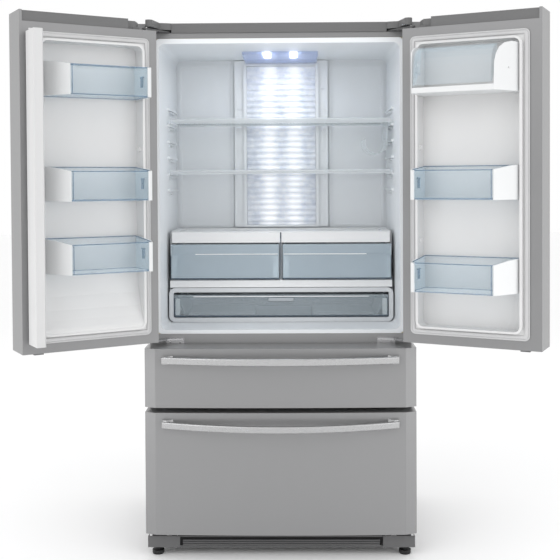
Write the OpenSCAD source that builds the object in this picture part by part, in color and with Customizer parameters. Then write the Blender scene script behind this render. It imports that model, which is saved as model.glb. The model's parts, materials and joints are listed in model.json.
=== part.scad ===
// Four-door refrigerator: two hinged doors above, two freezer drawers below.
// Millimetres. +Z is up and the front faces -Y. The floor is z = 0.
// The doors are drawn open and every drawer is drawn shut.

/* [Body] */
// Width across the doors and the drawer fronts
front_w = 908; // [780:1:1000]
// Depth of the cabinet behind its front flange
cabinet_depth = 568; // [480:1:680]
// Height of the doors
door_h = 1061; // [860:1:1250]
// Thickness of the doors and drawer fronts
front_t = 114; // [100:1:130]
// How far the fronts curve back before their side bevels
bow = 8; // [2:1:14]
// Width of the side bevels
bevel_w = 38; // [20:1:60]
// Depth of the side bevels
bevel_d = 14; // [6:1:20]

/* [Drawers] */
// Height of the lower drawer front
lower_h = 410; // [330:1:480]
// Height of the upper drawer front
upper_h = 197; // [160:1:260]
// Gap between the two drawer fronts
drawer_gap = 17; // [8:1:26]
// Gap between the upper drawer and the doors
hinge_gap = 26; // [20:1:36]
// Height of the lower drawer above the floor
kick_h = 81; // [74:1:110]

/* [Doors] */
// Angle to which the left door stands open
left_open = 149; // [90:1:154]
// Angle to which the right door stands open
right_open = 154; // [90:1:155]
// Distance of the hinge pins from the side of the doors
pin_in = 8.5; // [7:0.5:12]
// Distance of the hinge pins behind the front
pin_back = 40; // [34:1:48]
// Radius of the hinge pins
pin_r = 4; // [3:0.5:6]
// Radial clearance of the pins in their bushes
pin_clear = 0.08; // [0.02:0.01:0.1]
// Width of the closing gap between the doors
door_gap = 6; // [4:0.5:10]
// Thickness of the door gasket
gasket_t = 7.7; // [6:0.1:9]

/* [Interior] */
// Thickness of the side walls around the fresh-food space
side_wall = 42; // [34:1:70]
// Thickness of the side walls around the freezer
freezer_wall = 56; // [46:1:80]
// Depth of the fresh-food liner
liner_d = 493; // [430:1:600]
// Length of the crisper boxes
crisper_l = 290; // [240:1:300]
// Room beside each crisper box
crisper_gap = 13; // [10:0.5:30]
// Width of the light diffuser
diffuser_w = 268; // [200:1:320]
// Depth of the door bins
bin_d = 98; // [70:1:104]
// Height of the door bins
bin_h = 94; // [70:1:110]

/* [Hidden] */
half = front_w / 2;
skin = 1.5;
wall = 2;
gap = 0.3;
face = front_t + 8;
back = face + cabinet_depth;
shift_y = -182;
side_in = 4;
body_x = half - side_in;
z_low0 = kick_h;
z_low1 = z_low0 + lower_h;
z_up0 = z_low1 + drawer_gap;
z_up1 = z_up0 + upper_h;
z_door0 = z_up1 + hinge_gap;
z_door1 = z_door0 + door_h;
z_top = z_door1 - 22;
z_cap = z_door1 - 35;
z_base = 60;
open_z0 = z_door0 + 20;
open_z1 = z_top - 36;
open_x = half - side_wall;
rear = face + liner_d;
axis_x = half - pin_in;
free_dx = axis_x - door_gap / 2;
bow_r = pow(half - bevel_w, 2) / (2 * bow);
dy_back = front_t - pin_back;
pan_x0 = 40;
pan_x1 = free_dx - 58;
recess_y = dy_back - 44;
bin_x1 = pan_x1 - 64.5;
shelf_y = face + 208;
crisper_y = face + 182;
crisper_z = open_z0 + 155;
crisper_w = open_x - crisper_gap - 6;
pantry_z = open_z0 + 8;
upper_shelf_z = open_z0 + 724;
lower_shelf_z = open_z0 + 540;
freezer_x = half - freezer_wall;
freezer_rear = face + 478;
step_z = 285;
machine_d = 182;
step_y = face + 318;
left_bin_z = [open_z0 + 227, open_z0 + 452, open_z0 + 778];
right_bin_z = [open_z0 + 158, open_z0 + 450];
dairy_z = open_z0 + 785;
dairy_y = 92;
dairy_up = 70;
mullion_w = 84;
mullion_t = 30;
mullion_x = axis_x - mullion_w / 2 - 3;
mullion_px = mullion_x + 12.75;
mullion_py = dy_back + 21.75;
$fn = 64;

module placed() {
    translate([0, shift_y, 0])
        children();
}

module box(a, b) {
    translate(a)
        cube([b[0] - a[0], b[1] - a[1], b[2] - a[2]]);
}

module both() {
    children();
    mirror([1, 0, 0])
        children();
}

// Rounded rectangle between two corners of a plane
module round_rect(a, b, r) {
    translate([a[0] + r, a[1] + r])
        offset(r = r, $fn = 32)
            square([b[0] - a[0] - 2 * r, b[1] - a[1] - 2 * r]);
}

// Stands a drawing of x and z up, from y0 to y1
module upright(y0, y1) {
    translate([0, y1, 0])
        rotate([90, 0, 0])
            linear_extrude(y1 - y0)
                children();
}

// Lays a drawing of y and z across, from x0 to x1
module across(x0, x1) {
    translate([x0, 0, 0])
        rotate([90, 0, 90])
            linear_extrude(x1 - x0)
                children();
}

// Upright frame between an outer and an inner rounded outline
module ring(a, b, r, w, y0, y1) {
    upright(y0, y1)
        difference() {
            round_rect(a, b, r);
            round_rect([a[0] + w, a[1] + w], [b[0] - w, b[1] - w], max(r - w, 1));
        }
}

// Plan of the whole front, bowed in the middle and bevelled at its sides
module front_plan(inset = 0) {
    intersection() {
        translate([0, bow_r])
            circle(r = bow_r - inset, $fn = 720);
        polygon([
            [-half + inset, front_t - inset],
            [-half + inset, bow + bevel_d + inset],
            [-half + bevel_w + inset * 0.8, bow - 0.5 + inset * 0.5],
            [-half + bevel_w + 1, -1],
            [half - bevel_w - 1, -1],
            [half - bevel_w - inset * 0.8, bow - 0.5 + inset * 0.5],
            [half - inset, bow + bevel_d + inset],
            [half - inset, front_t - inset]
        ]);
    }
}

// How far back the bowed front lies, at a distance from its middle
function bow_y(x) = bow_r - sqrt(pow(bow_r, 2) - pow(x, 2)) - 0.01;

// Open-topped tray between two corners
module tray(a, b, t) {
    difference() {
        box(a, b);
        box([a[0] + t, a[1] + t, a[2] + t], [b[0] - t, b[1] - t, b[2] + 1]);
    }
}

module cabinet_shell() {
    color([0.62, 0.62, 0.63])
        placed()
            difference() {
                box([-body_x, face, z_base], [body_x, back, z_top]);
                box([-body_x + skin, face + skin, z_base + skin], [body_x - skin, back + 1, z_top - skin]);
                box([-open_x - 12, face - 1, open_z0 - 14], [open_x + 12, face + 10, open_z1 + 18]);
                box([-freezer_x - 12, face - 1, z_base + 22], [freezer_x + 12, face + 10, z_up1 - 16]);
                box([-body_x + 40, back - machine_d, z_base - 1], [body_x - 40, back + 1, z_base + 5]);
            }
}

module rear_panel() {
    color([0.5, 0.5, 0.52])
        placed()
            union() {
                difference() {
                    box([-body_x + 2, back - 2, step_z + 5], [body_x - 2, back - 0.5, z_top - 2]);
                    for (x = [-300, -100, 100, 300])
                        box([x - 14, back - 1.2, step_z + 80], [x + 14, back, z_top - 80]);
                }
                difference() {
                    box([-body_x + 2, back - 2, z_base + 6], [body_x - 2, back - 0.5, step_z + 4]);
                    for (x = [-body_x + 70 : 20 : body_x - 70])
                        for (z = [z_base + 40, z_base + 110])
                            if (abs(x) > 20)
                                box([x - 5, back - 3, z], [x + 5, back + 1, z + 50]);
                }
            }
}

// Liner with its front rim, side ribs and raised rear panels
module fridge_liner() {
    color([0.93, 0.94, 0.95])
        placed() {
            difference() {
                union() {
                    upright(face + 2, rear + wall)
                        round_rect([-open_x - wall, open_z0 - wall], [open_x + wall, open_z1 + wall], 24);
                    upright(face - gap + 0.1, face + 4)
                        round_rect([-open_x - 11, open_z0 - 13], [open_x + 11, open_z1 + 17], 14);
                }
                upright(face - 5, rear)
                    round_rect([-open_x, open_z0], [open_x, open_z1], 22);
            }
            both()
                upright(rear - 5, rear + 0.5)
                    difference() {
                        round_rect([186, crisper_z + 175], [open_x - 10, open_z1 - 16], 8);
                        round_rect([198, crisper_z + 187], [open_x - 22, open_z1 - 28], 6);
                    }
            both()
                for (k = [0 : 5])
                    liner_rib(open_x, lower_shelf_z - 56 + k * 59.5);
        }
}

// One shelf support, rounded at its front end
module liner_rib(x, z) {
    box([x - 8, shelf_y + 10, z - 9], [x + 0.5, rear - 20, z - 2]);
    translate([x - 8, shelf_y + 10, z - 5.5])
        rotate([0, 90, 0])
            cylinder(r = 6, h = 8.5, $fn = 32);
    box([x - 8, shelf_y + 60, z - 18], [x + 0.5, shelf_y + 180, z - 13]);
}

module freezer_liner() {
    color([0.9, 0.91, 0.92])
        placed()
            difference() {
                union() {
                    box([-freezer_x - wall, face + 2, step_z],
                        [freezer_x + wall, freezer_rear + wall, z_up1 - 30]);
                    box([-freezer_x - wall, face + 2, z_base + 32],
                        [freezer_x + wall, step_y + wall, step_z + 1]);
                    box([-freezer_x - 11, face - gap + 0.1, z_base + 23],
                        [freezer_x + 11, face + 4, z_up1 - 17]);
                }
                box([-freezer_x, face - 5, step_z + wall], [freezer_x, freezer_rear, z_up1 - 32]);
                box([-freezer_x, face - 5, z_base + 34], [freezer_x, step_y, step_z + wall + 1]);
            }
}

// Foam that fills the walls around both liners
module insulation() {
    color([0.93, 0.87, 0.66])
        placed()
            difference() {
                union() {
                    box([-body_x + skin, face + 6, step_z + 10], [body_x - skin, back - 2, z_top - skin]);
                    box([-body_x + skin, face + 6, z_base + 6], [body_x - skin, step_y + 60, step_z + 11]);
                }
                upright(face + 1, rear + wall)
                    round_rect([-open_x - wall, open_z0 - wall], [open_x + wall, open_z1 + wall], 24);
                box([-freezer_x - wall, face + 2, step_z],
                    [freezer_x + wall, freezer_rear + wall, z_up1 - 30]);
                box([-freezer_x - wall, face + 2, z_base + 32],
                    [freezer_x + wall, step_y + wall, step_z + 1]);
                box([-freezer_x - 12, face + 2, z_low1 - 2], [freezer_x + 12, face + 26, z_up0 + 2]);
            }
}

// Painted rails: below the doors, and between the two drawers
module cross_rails() {
    color([0.55, 0.55, 0.56])
        placed() {
            difference() {
                box([-open_x - 12, face - 3, z_up1 - 6], [open_x + 12, face - gap, open_z0 - 13.5]);
                box([-open_x - 13, face - 4, z_up1 + 2], [open_x + 13, face - 1.6, z_up1 + 4]);
            }
            box([-freezer_x + gap, face + 4.5, z_low1 - 6], [freezer_x - gap, face + 22, z_up0 + 6]);
        }
}

// Trim across the top with a cover over each upper hinge
module top_cover() {
    z0 = z_top + gap;
    color([0.36, 0.36, 0.37])
        placed()
            difference() {
                union() {
                    across(-axis_x + 45, axis_x - 45)
                        polygon([[face - 5, z0], [face + 70, z0], [face + 60, z0 + 25],
                            [face + 40, z0 + 33],
                            [face - 1, z0 + 33], [face - 5, z0 + 29]]);
                    both()
                        hinge_cover(z0);
                }
                both()
                    box([-axis_x - 1, 20, z_top - 1], [-axis_x + 78, face + 60, z_top + 9.5]);
            }
}

// Rounded cover above one hinge arm
module hinge_cover(z0) {
    translate([0, 0, z0])
        linear_extrude(32)
            union() {
                translate([-axis_x + 13, pin_back])
                    circle(r = 12.5, $fn = 48);
                polygon([[-axis_x + 4, pin_back + 6], [-axis_x + 4, face + 4], [-body_x + 4, face + 8],
                    [-body_x + 4, face + 66], [-axis_x + 76, face + 66], [-axis_x + 76, face - 10],
                    [-axis_x + 40, face - 20], [-axis_x + 25, pin_back - 3]]);
            }
}

// Upper hinge arms with the pins that reach down into the doors
module upper_hinges() {
    color([0.7, 0.7, 0.72])
        placed()
            both() {
                translate([0, 0, z_top + 0.5])
                    linear_extrude(5)
                        union() {
                            translate([-axis_x, pin_back])
                                circle(r = 10, $fn = 48);
                            polygon([[-axis_x + 4, pin_back], [-axis_x + 4, face + 50],
                                [-axis_x + 74, face + 50], [-axis_x + 74, face + 2],
                                [-axis_x + 9, pin_back - 4]]);
                        }
                translate([-axis_x, pin_back, z_cap - 22])
                    cylinder(r = pin_r, h = z_top + 1 - z_cap + 22);
            }
}

// Middle hinges: a plate screwed to the rail and an arm with its pin
module middle_hinges() {
    z1 = z_door0 - 6;
    color([0.78, 0.78, 0.8])
        placed()
            both() {
                difference() {
                    box([-axis_x + 52, face - 6, z1 - 30], [-axis_x + 114, face - 3.2, z1]);
                    for (x = [66, 100])
                        translate([-axis_x + x, face - 7, z1 - 14])
                            rotate([-90, 0, 0])
                                cylinder(r = 2.6, h = 5, $fn = 32);
                }
                translate([0, 0, z1 - 6])
                    linear_extrude(5)
                        union() {
                            translate([-axis_x, pin_back])
                                circle(r = 10, $fn = 48);
                            polygon([[-axis_x - 2, pin_back + 8], [-axis_x + 40, face - 6],
                                [-axis_x + 112, face - 3.2], [-axis_x + 112, face - 16],
                                [-axis_x + 60, face - 30], [-axis_x + 8, pin_back - 6]]);
                        }
                translate([-axis_x, pin_back, z1 - 4])
                    cylinder(r = pin_r, h = 34);
            }
}

module hinge_screws() {
    z1 = z_door0 - 6;
    color([0.8, 0.8, 0.82])
        placed()
            both() {
                for (x = [66, 100])
                    translate([-axis_x + x, face - 6.1, z1 - 14])
                        rotate([90, 0, 0]) {
                            cylinder(r = 4.5, h = 1.6, $fn = 32);
                            translate([0, 0, -2.8])
                                cylinder(r = 2.4, h = 3, $fn = 32);
                        }
                for (x = [20, 60])
                    translate([-axis_x + x, face + 30, z_top + 5.6])
                        cylinder(r = 4.5, h = 2.4, $fn = 32);
            }
}

// Base pan with the arms that carry the front feet and the wheel brackets
module base_frame() {
    color([0.16, 0.16, 0.17])
        placed()
            difference() {
                union() {
                    box([-body_x + 2, face, z_base - 6], [body_x - 2, step_y + 70, z_base - 0.5]);
                    box([-body_x + 44, back - 170, z_base - 14], [body_x - 44, back - 4, z_base - 8]);
                    box([-body_x + 44, step_y + 62, z_base - 14], [body_x - 44, step_y + 70, z_base - 0.5]);
                    both() {
                        box([-body_x + 8, 44, z_base - 16], [-body_x + 56, face + 40, z_base - 6]);
                        box([-body_x + 6, face + 30, z_base - 26], [-body_x + 10, back - 10, z_base - 6.5]);
                        box([-body_x + 46, step_y + 66, z_base - 14],
                            [-body_x + 50, back - 10, z_base - 8]);
                        box([-body_x + 6, step_y + 60, z_base - 10], [-body_x + 50, back - 10, z_base - 6]);
                        for (x = [10, 38])
                            wheel_cheek(-body_x + x);
                    }
                }
                both() {
                    translate([-body_x + 31.5, 62, z_base - 20])
                        cylinder(r = 5.06, h = 20);
                    translate([-body_x, back - 50, 24])
                        rotate([0, 90, 0])
                            cylinder(r = 5.05, h = 60);
                }
            }
}

module wheel_cheek(x) {
    across(x, x + 3)
        polygon([[back - 80, z_base - 6], [back - 20, z_base - 6], [back - 38, 14], [back - 62, 14]]);
}

module kick_grille() {
    y0 = 36;
    color([0.4, 0.4, 0.41])
        placed()
            difference() {
                union() {
                    upright(y0, y0 + 3)
                        round_rect([-half + 4, 28], [half - 4, kick_h - 14], 4);
                    both()
                        box([-half + 80, y0 + 2, z_base - 14], [-half + 96, face - 1, z_base - 7]);
                    both()
                        box([-half + 4, y0 + 2, 30], [-half + 6, y0 + 26, kick_h - 16]);
                }
                box([-half + 104, y0 - 1, kick_h - 24], [half - 104, y0 + 4, kick_h - 19]);
                for (k = [0 : 1])
                    for (x = [-half + 114 : 20 : half - 124])
                        box([x, y0 - 1, 34 + k * 10], [x + 14, y0 + 4, 39 + k * 10]);
            }
}

module front_feet() {
    color([0.07, 0.07, 0.08])
        placed()
            both()
                translate([-body_x + 31.5, 62, 0]) {
                    cylinder(r1 = 18, r2 = 20, h = 5, $fn = 48);
                    translate([0, 0, 5])
                        cylinder(r = 20, h = 9, $fn = 48);
                    translate([0, 0, 14])
                        cylinder(r = 12, h = 8, $fn = 6);
                    translate([0, 0, 20])
                        cylinder(r = 5, h = z_base - 6.5 - 20);
                }
}

module rear_rollers() {
    color([0.2, 0.2, 0.21])
        placed()
            both()
                translate([-body_x + 6.5, back - 50, 24])
                    rotate([0, 90, 0]) {
                        cylinder(r = 5, h = 38);
                        translate([0, 0, 8.5])
                            difference() {
                                cylinder(r = 24, h = 20);
                                for (k = [-1, 17])
                                    translate([0, 0, k])
                                        difference() {
                                            cylinder(r = 18, h = 4);
                                            translate([0, 0, -1])
                                                cylinder(r = 9, h = 6);
                                        }
                            }
                    }
}

module compressor() {
    color([0.08, 0.08, 0.09])
        placed()
            translate([190, back - 95, z_base - 8]) {
                for (x = [-85, 85])
                    for (y = [-45, 45])
                        translate([x, y, 0])
                            cylinder(r = 11, h = 16, $fn = 32);
                box([-100, -60, 16], [100, 60, 20]);
                translate([0, 0, 20])
                    rotate_extrude($fn = 96)
                        polygon([[0, 0], [60, 0], [72, 14], [76, 30], [76, 82], [79, 83],
                            [79, 88], [76, 89],
                            [74, 112], [62, 134], [40, 148], [16, 153], [0, 154]]);
                translate([0, -70, 84])
                    box([-26, -14, 0], [26, 6, 44]);
            }
}

// Condenser tubes run to and fro beside the fan
module condenser() {
    color([0.72, 0.42, 0.26])
        placed()
            translate([-330, back - 128, z_base + 10]) {
                for (r = [0 : 6])
                    for (c = [0 : 1])
                        translate([0, c * 40, r * 22])
                            rotate([0, 90, 0])
                                cylinder(r = 3, h = 150, $fn = 24);
                for (r = [0 : 5])
                    for (c = [0 : 1])
                        translate([r % 2 == 0 ? 150 : 0, c * 40, r * 22 + 11])
                            rotate([90, 0, 0])
                                rotate([0, 0, r % 2 == 0 ? -90 : 90])
                                    rotate_extrude(angle = 180, $fn = 48)
                                        translate([11, 0])
                                            circle(r = 3, $fn = 24);
                for (x = [12 : 14 : 140])
                    box([x, -14, -8], [x + 1, 54, 140]);
                box([8, -16, -14], [144, 56, -8]);
            }
}

module fan_motor() {
    x0 = -66;
    color([0.2, 0.2, 0.22])
        placed()
            translate([x0, back - 108, z_base + 70]) {
                difference() {
                    box([-4, -70, -78], [24, 70, 76]);
                    translate([-5, 0, 0])
                        rotate([0, 90, 0])
                            cylinder(r = 64, h = 40);
                }
                translate([17, 0, 0])
                    rotate([0, 90, 0])
                        difference() {
                            cylinder(r = 20, h = 34);
                            translate([0, 0, -1])
                                cylinder(r = 3.05, h = 20);
                        }
                for (a = [45 : 90 : 315])
                    rotate([a, 0, 0])
                        box([19, 18, -3], [23, 66, 3]);
            }
}

module fan_rotor() {
    x0 = -66;
    color([0.85, 0.86, 0.88])
        placed()
            translate([x0, back - 108, z_base + 70]) {
                rotate([0, 90, 0]) {
                    cylinder(r = 16, h = 15);
                    cylinder(r = 3, h = 33);
                }
                for (a = [0 : 72 : 288])
                    rotate([a, 0, 0])
                        translate([7.5, 0, 12])
                            rotate([0, 0, 32])
                                box([-1, -14, 0], [1, 14, 46]);
            }
}

module duct_cover() {
    w = diffuser_w / 2;
    color([0.9, 0.93, 0.96])
        placed()
            difference() {
                union() {
                    upright(rear - 22, rear - gap)
                        round_rect([-w - 48, crisper_z + 178], [w + 48, open_z1 - 2], 8);
                    upright(rear - 32, rear - 21)
                        round_rect([-w - 12, crisper_z + 178], [w + 12, open_z1 - 16], 4);
                }
                box([-w, rear - 40, crisper_z + 186], [w, rear - 12, open_z1 - 24]);
                for (z = [crisper_z + 230 : 80 : open_z1 - 90])
                    both()
                        box([-w - 40, rear - 23, z], [-w - 20, rear - 18, z + 8]);
            }
}

// Ribbed light panel
module light_diffuser() {
    w = diffuser_w / 2 - gap;
    z0 = crisper_z + 187;
    n = floor((open_z1 - 25 - z0) / 22.3);
    color([0.97, 0.98, 1])
        placed()
            union() {
                box([-w, rear - 20, z0], [w, rear - 14, open_z1 - 25]);
                for (k = [0 : n - 1])
                    translate([0, 0, z0 + 6 + k * 22.3])
                        across(-w, w)
                            polygon([[rear - 19, 0], [rear - 31, 3], [rear - 31, 13], [rear - 19, 18]]);
            }
}

module lamp_lens() {
    color([0.7, 0.78, 1])
        placed()
            difference() {
                across(-diffuser_w / 2 - 4, diffuser_w / 2 + 4)
                    polygon([[rear - 275, open_z1 - 0.3], [rear - 272, open_z1 - 11],
                        [rear - 40, open_z1 - 15],
                        [rear - 36, open_z1 - 0.3]]);
                across(-diffuser_w / 2 - 1, diffuser_w / 2 + 1)
                    polygon([[rear - 271, open_z1 + 1], [rear - 269, open_z1 - 9],
                        [rear - 43, open_z1 - 12.5],
                        [rear - 40, open_z1 + 1]]);
            }
}

module lamp_leds() {
    color([1, 1, 1])
        placed()
            for (x = [-50, 50]) {
                box([x - 14, rear - 250, open_z1 - 3], [x + 14, rear - 100, open_z1 - 0.4]);
                for (k = [0 : 3])
                    box([x - 4, rear - 240 + k * 36, open_z1 - 5.5],
                        [x + 4, rear - 226 + k * 36, open_z1 - 2.9]);
            }
}

module shelf_glass() {
    color([0.75, 0.85, 0.85])
        placed()
            for (z = [upper_shelf_z, lower_shelf_z])
                box([-open_x + 12, shelf_y + 6, z + 5], [open_x - 12, rear - 40, z + 9]);
}

// Front and rear trims of the shelves, with their end clips
module shelf_trims() {
    x = open_x - 10;
    color([0.93, 0.95, 0.96])
        placed()
            for (s = [[upper_shelf_z, 16], [lower_shelf_z, 12]]) {
                difference() {
                    across(-x, x)
                        polygon([[shelf_y - 4, s[0] - 2], [shelf_y + 16, s[0]], [shelf_y + 16, s[0] + 11],
                            [shelf_y, s[0] + s[1]], [shelf_y - 4, s[0] + s[1] - 4]]);
                    box([-open_x + 11.7, shelf_y + 5.7, s[0] + 4.7],
                        [open_x - 11.7, shelf_y + 20, s[0] + 9.3]);
                }
                difference() {
                    box([-x, rear - 54, s[0]], [x, rear - 36, s[0] + 14]);
                    box([-open_x + 11.7, rear - 55, s[0] + 4.7], [open_x - 11.7, rear - 39.7, s[0] + 9.3]);
                    box([-diffuser_w / 2 - 20, rear - 39, s[0] - 1],
                        [diffuser_w / 2 + 20, rear - 30, s[0] + 15]);
                }
                both()
                    translate([-x - 1, shelf_y + 4, s[0] + 4])
                        rotate([0, 90, 0])
                            cylinder(r = 8, h = 2.7, $fn = 32);
            }
}

// Curved rack that hangs below the upper shelf
module bottle_rack() {
    x1 = open_x - 20;
    r = 43;
    z = upper_shelf_z - 116 + r;
    color([0.88, 0.93, 0.95])
        placed() {
            upright(shelf_y + 10, rear - 80)
                union() {
                    difference() {
                        translate([x1 - r, z])
                            circle(r = r, $fn = 96);
                        translate([x1 - r, z])
                            circle(r = r - 3, $fn = 96);
                        translate([x1 - 2 * r - 1, z + 14])
                            square([2 * r + 2, r]);
                    }
                    translate([x1 - 3, z + 10])
                        square([3, upper_shelf_z - z - 11.5]);
                }
            box([x1 - 22, shelf_y + 17, upper_shelf_z - 3], [x1, rear - 82, upper_shelf_z - 0.4]);
        }
}

// Cover above the crispers, with its fascia, centre divider and side runners
module crisper_shelf() {
    x = open_x - 10;
    z0 = crisper_z;
    z1 = crisper_z + 174;
    color([0.95, 0.96, 0.97])
        placed() {
            difference() {
                union() {
                    translate([0, 0, z1 - 8])
                        linear_extrude(8)
                            polygon([[-x, crisper_y + 40], [-x + 26, crisper_y + 1],
                                [x - 26, crisper_y + 1],
                                [x, crisper_y + 40], [x, rear - 30], [-x, rear - 30]]);
                    across(-x + 8, x - 8)
                        polygon([[crisper_y - 4, z1 - 40], [crisper_y - 1, z1 - 40],
                            [crisper_y + 8, z1 - 8],
                            [crisper_y + 8, z1], [crisper_y + 3, z1], [crisper_y - 3, z1 - 4]]);
                }
                box([-x + 30, crisper_y + 40, z1 - 5], [x - 30, rear - 60, z1 + 1]);
            }
            box([-3.5, crisper_y + 1, z0 - 2], [3.5, rear - 40, z1 - 7]);
            box([-x, crisper_y + 12, z0 - 6.5], [x, rear - 30, z0 - 1.5]);
            across(-x, x)
                polygon([[crisper_y - 2, z0 - 28], [crisper_y + 4, z0 - 28], [crisper_y + 14, z0 - 6],
                    [crisper_y + 14, z0 - 1.5], [crisper_y, z0 - 3]]);
            both()
                box([-x, crisper_y + 20, z0 - 2], [-x + 3, rear - 30, z1 - 7]);
        }
}

// Clear crisper box with a ridge and a raised front edge
module crisper_box(x0, x1) {
    z0 = crisper_z + 1;
    z1 = crisper_z + 128;
    difference() {
        union() {
            box([x0 + 2, crisper_y, z0], [x1 - 2, crisper_y + crisper_l, z1]);
            across(x0, x1)
                polygon([[crisper_y - 6, z0 + 1], [crisper_y + 1, z0 + 1], [crisper_y + 1, z1],
                    [crisper_y - 7, z1], [crisper_y - 7, z1 - 32], [crisper_y - 10, z1 - 34],
                    [crisper_y - 10, z1 - 38], [crisper_y - 7, z1 - 40]]);
        }
        translate([0, 0, z0 + 3])
            linear_extrude(200)
                round_rect([x0 + 5, crisper_y + 1], [x1 - 5, crisper_y + crisper_l - 3], 14);
        across(x0 + 30, x1 - 30)
            polygon([[crisper_y - 5, z1 - 9], [crisper_y - 11, z1 - 9], [crisper_y - 11, z1 - 24],
                [crisper_y - 5, z1 - 18]]);
    }
}

module crisper_left() {
    color([0.72, 0.8, 0.84])
        placed()
            crisper_box(-crisper_w - 6, -6);
}

module crisper_right() {
    color([0.72, 0.8, 0.84])
        placed()
            crisper_box(6, crisper_w + 6);
}

// White frame around the wide drawer
module pantry_surround() {
    z1 = crisper_z - 30;
    x = open_x - 6;
    color([0.95, 0.96, 0.97])
        placed() {
            ring([-x, open_z0 + 1], [x, z1], 22, 16, crisper_y - 2, crisper_y + 16);
            both()
                box([-x + 0.5, crisper_y + 14, open_z0 + 24], [-x + 4, rear - 30, z1 - 4]);
            both()
                box([-x + 2, crisper_y + 14, pantry_z + 60], [-x + 14, rear - 40, pantry_z + 63]);
        }
}

module pantry_drawer() {
    x = open_x - 24;
    z0 = pantry_z + 12;
    z1 = pantry_z + 92;
    color([0.68, 0.75, 0.79])
        placed()
            difference() {
                union() {
                    box([-x + 6, crisper_y + 2, z0], [x - 6, crisper_y + crisper_l, z1 - 4]);
                    across(-x, x)
                        polygon([[crisper_y - 4, z0], [crisper_y + 3, z0], [crisper_y + 3, z1],
                            [crisper_y - 2, z1],
                            [crisper_y - 8, z1 - 4], [crisper_y - 8, z1 - 8], [crisper_y - 4, z1 - 11]]);
                    both()
                        box([-x, crisper_y + 18, z1 - 36], [-x + 7, crisper_y + crisper_l, z1 - 32]);
                }
                translate([0, 0, z0 + 3])
                    linear_extrude(200)
                        round_rect([-x + 9, crisper_y + 3], [x - 9, crisper_y + crisper_l - 3], 12);
            }
}

module pantry_latch() {
    z1 = pantry_z + 92;
    color([0.6, 0.64, 0.67])
        placed()
            upright(crisper_y - 9.5, crisper_y - 4.2)
                round_rect([-46, z1 - 22], [46, z1 - 11.2], 5);
}

// Channels fixed to the freezer walls, open towards the middle
module drawer_runners() {
    color([0.75, 0.76, 0.78])
        placed()
            both()
                for (s = [[z_up0 + 60, freezer_rear - 20], [z_low0 + 300, step_y - 20]])
                    difference() {
                        box([-freezer_x + gap, face + 26, s[0] - 16], [-freezer_x + 14, s[1], s[0] + 16]);
                        box([-freezer_x + 4, face + 25, s[0] - 11], [-freezer_x + 15, s[1] - 6, s[0] + 11]);
                    }
}

// A door is drawn shut, with its pin at the origin, and then turned open
module on_left() {
    placed()
        translate([-axis_x, pin_back, 0])
            rotate([0, 0, -left_open])
                children();
}

module on_right() {
    placed()
        mirror([1, 0, 0])
            translate([-axis_x, pin_back, 0])
                rotate([0, 0, -right_open])
                    children();
}

module door_plan(inset = 0) {
    intersection() {
        translate([axis_x, -pin_back])
            front_plan(inset);
        translate([-100, -100])
            square([free_dx - inset + 100, 300]);
    }
}

// Raised edge along the front and the free side
module lip_plan() {
    intersection() {
        difference() {
            door_plan();
            intersection() {
                door_plan(3);
                translate([-100, -100])
                    square([free_dx + 91, front_t + 100]);
            }
        }
        union() {
            translate([-20, -60])
                square([free_dx + 40, 46]);
            translate([free_dx - 9, -60])
                square([20, 134]);
        }
    }
}

module door_skin() {
    difference() {
        union() {
            translate([0, 0, z_door0])
                linear_extrude(z_cap - z_door0)
                    door_plan();
            translate([0, 0, z_cap - 0.5])
                linear_extrude(z_door1 - z_cap + 0.5)
                    lip_plan();
        }
        translate([0, 0, z_door0 + skin])
            linear_extrude(z_cap - z_door0 - 2 * skin)
                door_plan(skin);
        upright(dy_back - 5, dy_back + 5)
            round_rect([26, z_door0 + 36], [free_dx - 44, z_cap - 34], 14);
        translate([0, 0, z_door0 - 1])
            cylinder(r = pin_r + pin_clear, h = 60);
        translate([0, 0, z_cap - 60])
            cylinder(r = pin_r + pin_clear, h = 70);
    }
}

module door_core() {
    difference() {
        translate([0, 0, z_door0 + skin + 0.1])
            linear_extrude(z_cap - z_door0 - 2 * skin - 0.2)
                door_plan(skin + 0.1);
        upright(recess_y - 0.1, dy_back + 16)
            round_rect([pan_x0 - 0.1, z_door0 + 51.9], [pan_x1 + 0.1, z_cap - 49.9], 24);
        translate([0, 0, z_door0 - 1])
            cylinder(r = pin_r + 2, h = 60);
        translate([0, 0, z_cap - 60])
            cylinder(r = pin_r + 2, h = 70);
    }
}

// Recessed inner panel with a raised rim and the bosses that hold the bins
module door_liner(scoop, bosses) {
    difference() {
        union() {
            upright(dy_back + 0.1, dy_back + 1.5)
                round_rect([20, z_door0 + 30], [free_dx - 38, z_cap - 28], 16);
            upright(recess_y, dy_back + 18)
                round_rect([pan_x0, z_door0 + 52], [pan_x1, z_cap - 50], 24);
        }
        difference() {
            upright(recess_y + 2, dy_back + 56)
                round_rect([pan_x0 + 8, z_door0 + 58], [pan_x1 - 8, z_cap - 57], 18);
            if (scoop)
                translate([0, recess_y, z_door0])
                    across(0, pan_x1)
                        polygon([[1, 250], [6, 222], [16, 170], [30, 128], [44, 98], [57, 74], [60, 66],
                            [60, 50], [1, 50]]);
        }
    }
    for (z = bosses)
        box([pan_x0 + 7, recess_y + 28, z], [pan_x0 + 15, recess_y + 42, z + 14]);
}

module door_gasket() {
    ring([19, z_door0 + 31], [free_dx - 37, z_cap - 29], 15, 16, dy_back + 1.6, dy_back + gasket_t);
}

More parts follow.
